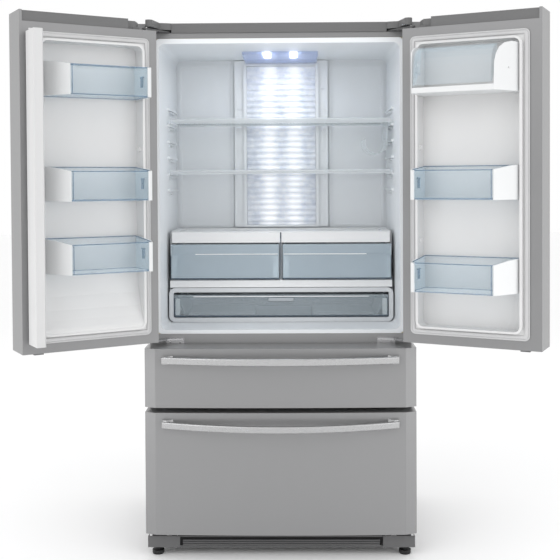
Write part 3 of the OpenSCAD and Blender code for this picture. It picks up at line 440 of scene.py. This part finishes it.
# Rounds the corners of an outline; the radii are for its corners in turn
def rounded(points, radii, steps=5, closed=True):
    result = []
    count = len(points)
    for i, corner in enumerate(points):
        here = Vector(corner)
        if radii[i] <= 0 or (not closed and i in (0, count - 1)):
            result.append(here)
            continue
        before = (Vector(points[i - 1]) - here).normalized()
        after = (Vector(points[(i + 1) % count]) - here).normalized()
        half = before.angle(after) / 2
        reach = radii[i] / math.tan(half)
        start, end = here + before * reach, here + after * reach
        middle = here + (before + after).normalized() * (radii[i] / math.sin(half))
        for k in range(steps + 1):
            t = k / steps
            ray = (start - middle).lerp(end - middle, t).normalized() * radii[i]
            result.append(middle + ray)
    return result


sharpest = 0.35  # keeps the inset of a very sharp corner from running far away


# Moves an outline sideways, inwards for a counterclockwise one
def insetOutline(points, amount, closed=True):
    result = []
    count = len(points)
    for i, here in enumerate(points):
        ways = []
        if closed or i > 0:
            ways.append(Vector(here) - Vector(points[i - 1]))
        if closed or i < count - 1:
            ways.append(Vector(points[(i + 1) % count]) - Vector(here))
        sides = [Vector((-w.y, w.x)).normalized() for w in ways if w.length > 1e-9]
        side = sum(sides, Vector((0, 0)))
        side.normalize()
        reach = amount / max(side.dot(sides[0]), sharpest)
        result.append(Vector(here) + side * reach)
    return result


def area(points):
    return sum(a[0] * b[1] - b[0] * a[1] for a, b in zip(points, points[1:] + points[:1])) / 2


# Skins a row of equal rings; it ends in caps, or runs back to the first ring
def joinRings(rings, wrap=False):
    count = len(rings[0])
    faces = []
    for r in range(len(rings) if wrap else len(rings) - 1):
        here, onward = r * count, (r + 1) % len(rings) * count
        for i in range(count):
            j = (i + 1) % count
            faces.append((here + i, here + j, onward + j, onward + i))
    if not wrap:
        faces.append(tuple(reversed(range(count))))
        faces.append(tuple((len(rings) - 1) * count + i for i in range(count)))
    return [p for ring in rings for p in ring], faces


# A round ring about a middle, across the axis that the turn gives
def circle(middle, turn, radius, sides, raised=0):
    angles = [math.tau * k / sides for k in range(sides)]
    return [middle + turn @ Vector((radius * math.cos(a), radius * math.sin(a), raised)) for a in angles]


class Shape:
    def __init__(self):
        self.points, self.faces = [], []

    def add(self, points, faces):
        start = len(self.points)
        self.points += [Vector(p) for p in points]
        self.faces += [tuple(i + start for i in face) for face in faces]

    def addBlock(self, low, high):
        (x0, y0, z0), (x1, y1, z1) = low, high
        corners = [(x, y, z) for z in (z0, z1) for x, y in ((x0, y0), (x1, y0), (x1, y1), (x0, y1))]
        self.add(corners, [(3, 2, 1, 0), (4, 5, 6, 7), (0, 1, 5, 4), (1, 2, 6, 5), (2, 3, 7, 6),
                           (3, 0, 4, 7)])

    # A tube of round section along a path of points
    def addTube(self, path, radius, sides=8):
        rings = []
        for i, here in enumerate(path):
            before = path[max(i - 1, 0)]
            after = path[min(i + 1, len(path) - 1)]
            way = (Vector(after) - Vector(before)).normalized()
            rings.append(circle(Vector(here), way.to_track_quat("Z", "Y"), radius, sides))
        self.add(*joinRings(rings))

    def build(self, name, finish, body, slotName, replaced=(), matrix=None, bevel=0, angle=38):
        mesh = bpy.data.meshes.new(name)
        mesh.from_pydata([matrix @ p if matrix else p for p in self.points], [], self.faces)
        sharp = math.radians(angle)
        work = bmesh.new()
        work.from_mesh(mesh)
        bmesh.ops.remove_doubles(work, verts=work.verts, dist=1e-6)
        bmesh.ops.recalc_face_normals(work, faces=work.faces)
        if bevel:
            corners = [e for e in work.edges if e.is_manifold and e.calc_face_angle(0) > sharp]
            bmesh.ops.bevel(work, geom=corners, offset=bevel, segments=2, affect="EDGES",
                            clamp_overlap=True)
        for face in work.faces:
            face.smooth = True
        for edge in work.edges:
            edge.smooth = edge.is_manifold and edge.calc_face_angle(0) < sharp
        work.to_mesh(mesh)
        work.free()
        return finishPiece(mesh, name, finish, body, replaced)


def finishPiece(mesh, name, finish, body, replaced=()):
    piece = bpy.data.objects.new(name, mesh)
    bpy.context.scene.collection.objects.link(piece)
    if not mesh.materials:
        mesh.materials.append(finishes[finish])
    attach(piece, body)
    if replaced:
        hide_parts(*replaced)
    return piece


# Door gaskets: a base strip, a groove and a soft round bead

gasketSettings = {
    "corner": 0.015,
    "profile": [(0, 0), (0, 0.5), (0.1, 0.62), (0.2, 0.5), (0.27, 0.32), (0.34, 0.5), (0.42, 0.86),
                (0.52, 1), (0.84, 1), (0.94, 0.88), (1, 0.66), (1, 0)],
    "width": 0.016,
    "tighten": 0.8,  # how much of the inset the corner radius loses
    "angle": 50,
}


def roundRect(x0, z0, x1, z1, radius, steps=6):
    corners = [(x0, z0), (x1, z0), (x1, z1), (x0, z1)]
    return rounded(corners, [max(radius, 0.0004)] * 4, steps)


def addGasket(side, settings):
    low, high = doorBox(side, side + "_gasket")
    shape = Shape()
    rings = []
    for inset, depth in settings["profile"]:
        n = inset * settings["width"]
        corner = settings["corner"] - n * settings["tighten"]
        outline = roundRect(low.x + n, low.z + n, high.x - n, high.z - n, corner)
        rings.append([(p.x, low.y + depth * (high.y - low.y), p.y) for p in outline])
    shape.add(*joinRings(rings, wrap=True))
    shape.build(side + "Gasket", "gasketWhite", side + "_door", "gasket", [side + "_gasket"],
                doorMatrix(side), angle=settings["angle"])


for side in ("left", "right"):
    addGasket(side, gasketSettings)
print("stage: gaskets")

# Tall pivot block on top of each door, beside the hinge cover
blockSettings = {
    "from": 0.0325,
    "fromBack": 0.058,
    "to": 0.088,
    "front": 0.0205,
    "back": 0.0585,
    "corners": [0.004, 0.001, 0.001, 0.004],
    "capDrop": 0.033,
    "lift": 0.0002,
    "height": 0.029,
}


def addPivotBlock(side, settings):
    top = doorBox(side, side + "_caps")[1].z - settings["capDrop"]
    shape = Shape()
    outline = rounded([(settings["from"], settings["front"]), (settings["to"], settings["front"]),
                       (settings["to"], settings["back"]), (settings["fromBack"], settings["back"])],
                      settings["corners"])
    levels = (top + settings["lift"], top + settings["height"])
    shape.add(*joinRings([[(p.x, p.y, z) for p in outline] for z in levels]))
    shape.build(side + "PivotBlock", "darkTrim", side + "_door", "dark_trim", matrix=doorMatrix(side),
                bevel=0.0012)


for side in ("left", "right"):
    addPivotBlock(side, blockSettings)

# Door bins: clear tinted body, white ends, thickened rim and the hook inside the hinge end

binSettings = {
    "wall": 0.0024,
    "floor": 0.003,
    "endWall": 0.004,
    "frontCorner": 0.0525,  # the front is this much shorter than the back at the free side
    "slope": 0.060,  # how far back the slanted corner reaches
    "gap": 0.0042,
    "seat": 0.006,
    "rim": 0.0015,
    "lip": 0.0012,
    "topBack": 0.108,
    "topFront": 0.093,
    "dipStart": 0.07,
    "hook": (0.0072, 0.066),
}


# Height of a bin at a place along its depth: level at the back, lower towards the front
def binTop(dy, base, depth, settings):
    start = settings["dipStart"]
    t = min(max((dy - base - start) / (depth - start), 0), 1)
    return settings["topBack"] + (settings["topFront"] - settings["topBack"]) * t


def addBins(side, settings):
    low, high = doorBox(side, side + "_bin_ends")
    backWall = doorBox(side, side + "_bins")[0].y
    seat, slope, gap, wall, lip = (settings[key] for key in ("seat", "slope", "gap", "wall", "lip"))
    base = low.y - seat
    depth = high.y - base
    deep = base + depth
    free = high.x
    front = free - settings["frontCorner"]
    outline = rounded([(low.x + gap, backWall), (free - gap, backWall), (free - gap, base + 0.052),
                       (front + 0.0275, deep - slope), (front - 0.0052, deep - 0.0012),
                       (low.x + 0.01, deep - 0.0046), (low.x + 0.0046, deep - 0.02)],
                      [0.004, 0.004, 0.008, 0.02, 0.008, 0.012, 0.012])
    hingePath = rounded([(low.x, base + seat), (low.x, deep - 0.016), (low.x + 0.004, deep - 0.001),
                         (low.x + 0.016, deep)], [0, 0.01, 0.003, 0], closed=False)
    freePath = rounded([(front, deep), (front + 0.032, deep - slope), (free, base + 0.054),
                        (free, base + seat)], [0, 0.02, 0.012, 0], closed=False)
    clear, rims, ends, hooks = Shape(), Shape(), Shape(), Shape()

    def topAt(p):
        return binTop(p.y, base, depth, settings)

    for z in levelsOf(side + "_bin_ends"):
        def ring(inset, height):
            return [(p.x, p.y, z + height(topAt(p))) for p in insetOutline(outline, inset)]

        clear.add(*joinRings([
            ring(0.003, lambda top: 0.0003), ring(0.0008, lambda top: 0.001), ring(0, lambda top: 0.004),
            ring(0, lambda top: top - lip), ring(wall / 2, lambda top: top),
            ring(wall, lambda top: top - lip), ring(wall, lambda top: 0.006),
            ring(wall + 0.003, lambda top: settings["floor"])]))
        for path in (ring(0.0013, lambda top: top - 0.0016), ring(0.0022, lambda top: 0.0022)):
            rims.addTube(path + path[:1], settings["rim"])
        for path in (hingePath, freePath):
            band = path + insetOutline(path, -settings["endWall"], closed=False)[::-1]
            if area(band) < 0:
                band = band[::-1]
            lower = [(p.x, p.y, z + 0.0002) for p in band]
            ends.add(*joinRings([lower, [(p.x, p.y, z + topAt(p)) for p in band]]))
        cut = max(insetOutline(outline, -0.0002), key=lambda p: p.y * 4 + p.x)
        rims.addTube([(cut.x, cut.y, z + 0.004), (cut.x, cut.y, z + topAt(cut))], lip)
        x, hook = settings["hook"][0] + low.x, settings["hook"][1] + base
        hooks.addBlock((x, hook, z + 0.066), (x + 0.003, hook + 0.03, z + 0.0705))
        for k in (0.006, 0.018):
            hooks.addBlock((x, hook + k, z + 0.036), (x + 0.0028, hook + k + 0.0045, z + 0.067))
    turned = doorMatrix(side)
    body = side + "_door"
    clear.build(side + "BinBodies", "binBlue", body, "tinted_plastic", [side + "_bins"], turned)
    rims.build(side + "BinRims", "binRim", body, "tinted_plastic", matrix=turned)
    ends.build(side + "BinEnds", "binWhite", body, "white_plastic", [side + "_bin_ends"], turned, 0.0008)
    hooks.build(side + "BinHooks", "binRim", body, "tinted_plastic", matrix=turned, bevel=0.0006)


for side in ("left", "right"):
    addBins(side, binSettings)
print("stage: door bins")

# Crispers and the wide drawer: tapered clear boxes behind a front plate with a ridge along it

crisperSettings = {
    "finishes": ("crisperClear", "crisperFront"),
    "wall": 0.003,
    "taper": 0.022,
    "backTaper": 0.4,
    "corner": 0.016,
    "sideGap": 0.006,
    "frontGap": 0.0105,
    "topGap": 0.004,
    "front": [(0.0035, 0.0), (0.0035, 0.086), (0.0014, 0.089), (0.0014, 0.094), (0.0032, 0.097),
              (0.003, 0.1245), (0.0045, 0.127), (0.0075, 0.127), (0.0075, 0.0)],
    "ridge": 0.0915,
    "ridgeRadius": 0.0015,
    "ridgeInset": (0.09, 0.004),  # at the outer end, at the inner end
    "endWall": 0.018,
    # The next three set the strips of painted shade under and beside the front; the last also sets the top
    # of the end bands
    "endGap": 0.0045,
    "edge": 0.0048,
    "gapShadeWidth": 0.0022,
    "edgeTop": 0.086,
    "bothSides": False,
}

pantrySettings = {
    **crisperSettings,
    "finishes": ("pantryClear", "pantryFront"),
    "taper": 0.026,
    "corner": 0.014,
    "sideGap": 0.008,
    "frontGap": 0.011,
    "front": [(0.0045, 0.0), (0.0045, 0.069), (0.0014, 0.072), (0.0014, 0.0755), (0.005, 0.0795),
              (0.0105, 0.0795), (0.0105, 0.0)],
    "ridge": 0.0738,
    "ridgeInset": (0.07, 0.07),
    "endWall": 0.017,
    "edge": 0.0042,
    "edgeTop": 0.069,
    "bothSides": True,
    "stepSides": (-0.092, 0.111),
    "stepHeight": 0.013,
    "riserHalf": 0.0012,
    "stepGap": 0.002,
    "stepEnd": 0.05,
    "stepDepth": 0.03,
}


def addOpenBox(shape, low, high, settings):
    wall, tapering = settings["wall"], settings["backTaper"]

    def ring(share, inset, z):
        n = settings["taper"] * (1 - share) + inset
        back = high[1] - (n * tapering) - inset
        outline = rounded([(low[0] + n, low[1] + inset), (high[0] - n, low[1] + inset),
                           (high[0] - n, back), (low[0] + n, back)], [settings["corner"]] * 4)
        return [(p.x, p.y, z) for p in outline]

    shape.add(*joinRings([
        ring(0, 0.004, low[2]), ring(0.03, 0, low[2] + 0.004), ring(1, 0, high[2] - 0.001),
        ring(1, wall / 2, high[2]), ring(1, wall, high[2] - 0.001),
        ring(0.05, wall, low[2] + wall + 0.004), ring(0.02, wall + 0.003, low[2] + wall)]))


def addClearBox(node, name, body, settings):
    low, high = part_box(node)
    boxFinish, frontFinish = settings["finishes"]
    side = settings["sideGap"]
    box, plate = Shape(), Shape()
    addOpenBox(box, (low.x + side, low.y + settings["frontGap"], low.z + 0.0005),
               (high.x - side, high.y, high.z - settings["topGap"]), settings)
    box.build(name + "Box", boxFinish, body, "clear_plastic", [node])
    ends = (low.x + 0.0003, high.x - 0.0003)
    plate.add(*joinRings([[(x, low.y + y, low.z + 0.0002 + z) for y, z in settings["front"]]
                          for x in ends]))
    plate.build(name + "Front", frontFinish, body, "clear_plastic", bevel=0.0006)
    addHighlightShadeAndEndBands(name, body, low, high, settings)


# A painted highlight along the ridge across the front, dark strips of painted shade in the gaps below it
# and at its sides, and paler end bands
def addHighlightShadeAndEndBands(name, body, low, high, settings):
    y = low.y + settings["front"][0][0]
    onLeft = high.x < 0.01
    outer, inner = settings["ridgeInset"]
    leftInset, rightInset = (outer, inner) if onLeft else (inner, outer)
    ridgePlace = (low.y + 0.0018, low.z + settings["ridge"])
    ridge, edges, walls = Shape(), Shape(), Shape()
    # A white bead on the ridge that stands in for a painted highlight
    ridge.addTube([(low.x + leftInset, *ridgePlace), (high.x - rightInset, *ridgePlace)],
                  settings["ridgeRadius"])
    ridge.build(name + "Ridge", "ridgeClear", body, "clear_plastic")
    # Near-black strips below the front and at its sides: painted shade in the gaps round the drawer
    front, back, foot = y - 0.0012, y + 0.0004, low.z + 0.0006
    edges.addBlock((low.x + 0.0006, front, foot), (high.x - 0.0006, back, low.z + settings["edge"]))
    width = settings["gapShadeWidth"]
    for x, wanted in ((low.x, onLeft), (high.x - width, not onLeft)):
        if wanted or settings["bothSides"]:
            edges.addBlock((x, front, foot), (x + width, back, low.z + settings["edgeTop"]))
    edges.build(name + "Edges", "clearEdge", body, "clear_plastic", bevel=0.0003)
    gap, wall = settings["endGap"], settings["endWall"]
    for x in (low.x + gap, high.x - gap - wall):
        walls.addBlock((x, y + 0.0046, low.z + 0.006),
                       (x + wall, y + 0.0062, low.z + settings["edgeTop"] - 0.003))
    walls.build(name + "EndWalls", "clearEndWall", body, "clear_plastic", bevel=0.0004)


# Two low steps in the floor of the wide drawer, each with a dark riser at its inner end
def addFloorSteps(settings):
    low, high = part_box("pantry_drawer")
    risers, steps = Shape(), Shape()
    left, right = settings["stepSides"]
    half, end, depth, gap = (settings[key] for key in ("riserHalf", "stepEnd", "stepDepth", "stepGap"))
    top = low.z + settings["stepHeight"]
    for x in (left, right):
        risers.addBlock((x - half, low.y + 0.0125, low.z + 0.004), (x + half, low.y + 0.06, top + 0.02))
    risers.build("pantryRisers", "clearEdge", "pantry", "clear_plastic", bevel=0.0003)
    for x0, x1 in ((low.x + end, left - gap), (right + gap, high.x - end)):
        steps.addBlock((x0, low.y + depth, low.z + 0.0045), (x1, high.y - depth, top))
    steps.build("pantryFloorSteps", "clearEndWall", "pantry", "clear_plastic", bevel=0.0006)


addClearBox("crisper_left", "crisperLeft", "left_crisper", crisperSettings)
addClearBox("crisper_right", "crisperRight", "right_crisper", crisperSettings)
addClearBox("pantry_drawer", "pantry", "pantry", pantrySettings)
addFloorSteps(pantrySettings)

# Dark joint between the two halves of the fascia
jointSettings = {"width": 0.0042, "proud": 0.0008}


def addFasciaJoint(settings):
    shelfLow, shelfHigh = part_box("crisper_shelf")
    boxLow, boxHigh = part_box("crisper_left")
    half = settings["width"] / 2
    front = shelfLow.y - settings["proud"]
    shape = Shape()
    for y, deep, z0, z1 in ((front, 0.0012, boxHigh.z + 0.004, shelfHigh.z - 0.003),
                            (front + 0.004, 0.002, boxLow.z - 0.001, boxHigh.z + 0.006)):
        shape.addBlock((-half, y, z0), (half, y + deep, z1))
    shape.build("fasciaJoint", "clearEdge", "cabinet", "white_plastic", bevel=0.0003)


addFasciaJoint(jointSettings)
print("stage: crispers and wide drawer")

# Rows of equal bars, set by named inputs

rowInputs = (
    ("Count", "NodeSocketInt", 8), ("Start", "NodeSocketVector", (0, 0, 0)),
    ("Step", "NodeSocketVector", (0, 0, 0.02)), ("Half Length", "NodeSocketFloat", 0.1),
    ("Radius", "NodeSocketFloat", 0.005), ("Section", "NodeSocketVector", (1, 1, 1)),
    ("Turn", "NodeSocketVector", (0, 0, 0)), ("Sides", "NodeSocketInt", 12),
    ("Material", "NodeSocketMaterial", None),
)


def rowTree(name):
    tree = bpy.data.node_groups.new(name, "GeometryNodeTree")
    tree.interface.new_socket("Geometry", in_out="OUTPUT", socket_type="NodeSocketGeometry")
    for label, kind, value in rowInputs:
        socket = tree.interface.new_socket(label, in_out="INPUT", socket_type=kind)
        if value is not None:
            socket.default_value = value
    add = tree.nodes.new
    source, target = add("NodeGroupInput"), add("NodeGroupOutput")
    points, spread = add("GeometryNodeMeshLine"), add("GeometryNodeInstanceOnPoints")
    spine, outline = add("GeometryNodeCurvePrimitiveLine"), add("GeometryNodeCurvePrimitiveCircle")
    bar, shape = add("GeometryNodeCurveToMesh"), add("GeometryNodeTransform")
    negative, start, end = add("ShaderNodeMath"), add("ShaderNodeCombineXYZ"), add("ShaderNodeCombineXYZ")
    real, paint = add("GeometryNodeRealizeInstances"), add("GeometryNodeSetMaterial")
    negative.operation = "MULTIPLY"
    negative.inputs[1].default_value = -1
    bar.inputs["Fill Caps"].default_value = True
    for first, output, second, entry in (
            (source, "Count", points, "Count"),
            (source, "Start", points, "Start Location"),
            (source, "Step", points, "Offset"),
            (source, "Half Length", negative, 0),
            (negative, 0, start, "X"),
            (source, "Half Length", end, "X"),
            (start, 0, spine, "Start"),
            (end, 0, spine, "End"),
            (source, "Sides", outline, "Resolution"),
            (source, "Radius", outline, "Radius"),
            (spine, "Curve", bar, "Curve"),
            (outline, "Curve", bar, "Profile Curve"),
            (bar, "Mesh", shape, "Geometry"),
            (source, "Section", shape, "Scale"),
            (source, "Turn", shape, "Rotation"),
            (points, "Mesh", spread, "Points"),
            (shape, "Geometry", spread, "Instance"),
            (spread, "Instances", real, "Geometry"),
            (real, "Geometry", paint, "Geometry"),
            (source, "Material", paint, "Material"),
            (paint, "Geometry", target, "Geometry")):
        tree.links.new(first.outputs[output], second.inputs[entry])
    return tree


barRow = rowTree("barRow")
rowAngle = math.radians(50)


# The row as a mesh of its own, with flat end caps
def addRow(name, values, finish, body):
    holder = bpy.data.objects.new(name + "Source", bpy.data.meshes.new(name + "Source"))
    bpy.context.scene.collection.objects.link(holder)
    modifier = holder.modifiers.new("row", "NODES")
    modifier.node_group = barRow
    values = {**values, "Material": finishes[finish]}
    for item in barRow.interface.items_tree:
        if item.in_out == "INPUT" and item.name in values:
            modifier[item.identifier] = values[item.name]
    graph = bpy.context.evaluated_depsgraph_get()
    mesh = bpy.data.meshes.new_from_object(holder.evaluated_get(graph))
    bpy.data.objects.remove(holder)
    mesh.name = name
    work = bmesh.new()
    work.from_mesh(mesh)
    bmesh.ops.recalc_face_normals(work, faces=work.faces)
    for face in work.faces:
        face.smooth = len(face.verts) == 4
    for edge in work.edges:
        edge.smooth = edge.is_manifold and edge.calc_face_angle(0) < rowAngle
    work.to_mesh(mesh)
    work.free()
    return finishPiece(mesh, name, finish, body)


# Light panel with its ribs


def addLightPanel(settings):
    low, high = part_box("light_diffuser")
    back = Shape()
    back.addBlock((low.x, high.y - settings["thickness"], low.z), (high.x, high.y, high.z))
    back.build("lightPanel", "lightPanel", "cabinet", "diffuser", ["light_diffuser"], bevel=0.001)
    first = low.z + settings["firstRib"]
    addRow("lightPanelRibs", {
        "Count": int((high.z - low.z - settings["firstRib"]) / settings["pitch"]),
        "Start": (0, high.y - settings["thickness"] - settings["ribOverlap"], first),
        "Step": (0, 0, settings["pitch"]),
        "Half Length": (high.x - low.x) / 2 - settings["endGap"],
        "Radius": settings["ribRadius"],
        "Section": (1, settings["ribDepth"], 1),
        "Sides": 16,
    }, "lightPanel", "cabinet")


addLightPanel(panelSettings)

# Kick grille: a bevelled bar with one long slot above three louvres, all in front of a dark back
grilleSettings = {
    "thickness": 0.003,
    "setBack": 0.0006,
    "slotEnd": 0.108,
    "slotDrop": 0.0035,
    "footHeight": 0.004,
    "endDepth": 0.024,
    "tabInset": 0.084,
    "rows": 3,
    "pitch": 0.0072,
    "radius": 0.0036,
    "lean": 30,
    "louvreEnd": 0.118,
}


def addGrille(settings):
    low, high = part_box("kick_grille")
    back = low.y + settings["thickness"]
    front = low.y + settings["setBack"]
    slotTop = high.z - settings["slotDrop"]
    slotLeft, slotRight = low.x + settings["slotEnd"], high.x - settings["slotEnd"]
    body = Shape()
    for x0, x1, z0, z1 in ((low.x, slotLeft, low.z, high.z), (slotRight, high.x, low.z, high.z),
                           (slotLeft, slotRight, slotTop, high.z),
                           (slotLeft, slotRight, low.z, low.z + settings["footHeight"])):
        body.addBlock((x0, front, z0), (x1, back, z1))
    for side in (-1, 1):
        x = side * (high.x - 0.001)
        body.addBlock((x - 0.001, back, low.z + 0.002),
                      (x + 0.001, back + settings["endDepth"], high.z - 0.002))
        x = side * (high.x - settings["tabInset"])
        body.addBlock((x - 0.008, back, high.z - 0.021), (x + 0.008, high.y, high.z - 0.014))
    body.build("grilleBody", "greyPlastic", "cabinet", "grey_plastic", ["kick_grille"], bevel=0.0008)
    addRow("grilleLouvres", {
        "Count": settings["rows"],
        "Start": (0, low.y + 0.0046, low.z + 0.0084),
        "Step": (0, 0, settings["pitch"]),
        "Half Length": high.x - settings["louvreEnd"],
        "Radius": settings["radius"],
        "Section": (1, 1.1, 0.62),
        "Turn": (math.radians(settings["lean"]), 0, 0),
    }, "greyPlastic", "cabinet")
    shadow = Shape()
    shadow.addBlock((low.x + 0.1, low.y + 0.0105, low.z + 0.003),
                    (high.x - 0.1, low.y + 0.0115, high.z - 0.001))
    shadow.build("grilleShadow", "slotShadow", "cabinet", "grey_plastic", bevel=0.0003)


addGrille(grilleSettings)

# Shelf ribs moulded along both side walls, as fine beads under each support
beadSettings = {
    "count": 6,
    "pitch": 0.0595,
    "below": 0.083,
    "behind": 0.11,
    "outwards": 0.0075,
    "radius": 0.0022,
    "length": 0.075,
}


def addWallBeads(settings):
    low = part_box("shelf_glass")[0]
    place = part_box("crisper_shelf")[1].x + settings["outwards"]
    for side, x in (("Left", -place), ("Right", place)):
        addRow("wallBeads" + side, {
            "Count": settings["count"],
            "Start": (x, low.y + settings["behind"], low.z - settings["below"]),
            "Step": (0, 0, settings["pitch"]),
            "Half Length": settings["length"],
            "Radius": settings["radius"],
            "Turn": (0, 0, math.radians(90)),
            "Sides": 10,
        }, "linerWhite", "cabinet")


addWallBeads(beadSettings)

# Fine dark line under the nose of each shelf trim
noseSettings = {"radius": 0.0009, "rise": 0.0078, "proud": 0.0002, "inset": 0.004, "apart": 0.12}


def addShelfLines(settings):
    low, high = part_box("shelf_trims")
    for name, z in zip(("Lower", "Upper"), levelsOf("shelf_trims", settings["apart"])):
        addRow("shelfLine" + name, {
            "Count": 1,
            "Start": (0, low.y + settings["radius"] + settings["proud"], z + settings["rise"]),
            "Half Length": high.x - settings["inset"],
            "Radius": settings["radius"],
            "Sides": 8,
        }, "trimLine", "cabinet")


addShelfLines(noseSettings)
print("stage: rows of ribs and slats")

# Hinge screws: low domed heads, on top of the upper hinges and in front of the middle ones
screwSettings = {
    "radius": 0.0043,
    "height": 0.0014,
    "sides": 24,
    "flatWidth": 0.0085,  # a screw lying on top of its plate is wider and lower than this pair
    "flatHeight": 0.0075,
    "dome": ((1, 0), (1, 0.45), (0.9, 0.8), (0.7, 0.97), (0.45, 1)),
    "angle": 50,
}


# Middle and size of each separate lump of a mesh
def looseLumps(mesh):
    work = bmesh.new()
    work.from_mesh(mesh)
    bmesh.ops.remove_doubles(work, verts=work.verts, dist=1e-6)
    seen, result = set(), []
    for first in work.verts:
        if first.index in seen:
            continue
        stack, group = [first], []
        seen.add(first.index)
        while stack:
            vertex = stack.pop()
            group.append(vertex.co.copy())
            for edge in vertex.link_edges:
                other = edge.other_vert(vertex)
                if other.index not in seen:
                    seen.add(other.index)
                    stack.append(other)
        low, high = boxOf(group)
        result.append(((low + high) / 2, high - low))
    work.free()
    return result


def addScrews(settings):
    radius, height = settings["radius"], settings["height"]
    shape = Shape()
    for middle, size in looseLumps(nodes["hinge_screws"].data):
        flat = size.y > size.z - 1e-4 and size.x > settings["flatWidth"] and size.z < settings["flatHeight"]
        way = Vector((0, 0, 1)) if flat else Vector((0, -1, 0))
        low = middle + way * (0.5 * (size.z if flat else size.y) - height)
        turn = way.to_track_quat("Z", "Y")
        rings = [circle(low, turn, radius * r, settings["sides"], height * h) for r, h in settings["dome"]]
        shape.add(*joinRings(rings))
    shape.build("screwHeads", "hingeSteel", "cabinet", "hinge_steel", ["hinge_screws"],
                angle=settings["angle"])


addScrews(screwSettings)
print("stage: screws")

# Floor

floorSettings = {"size": 40, "dark": (0.96, 0.96, 0.963), "light": (0.98, 0.98, 0.982), "rough": 0.7}


def addFloor(settings):
    bpy.ops.mesh.primitive_plane_add(size=settings["size"], location=(0, 0, 0))
    floor = bpy.context.object
    floor.name = "floor"
    mat, tree, shader, mapping = newMaterial("paleFloor")
    clouds = addNoise(tree, mapping, 0.8, 3).outputs["Fac"]
    tint = tintBetween(tree, clouds, settings["dark"], settings["light"])
    tree.links.new(tint, shader.inputs["Base Color"])
    shader.inputs["Roughness"].default_value = settings["rough"]
    floor.data.materials.append(mat)


addFloor(floorSettings)
print("stage: floor")
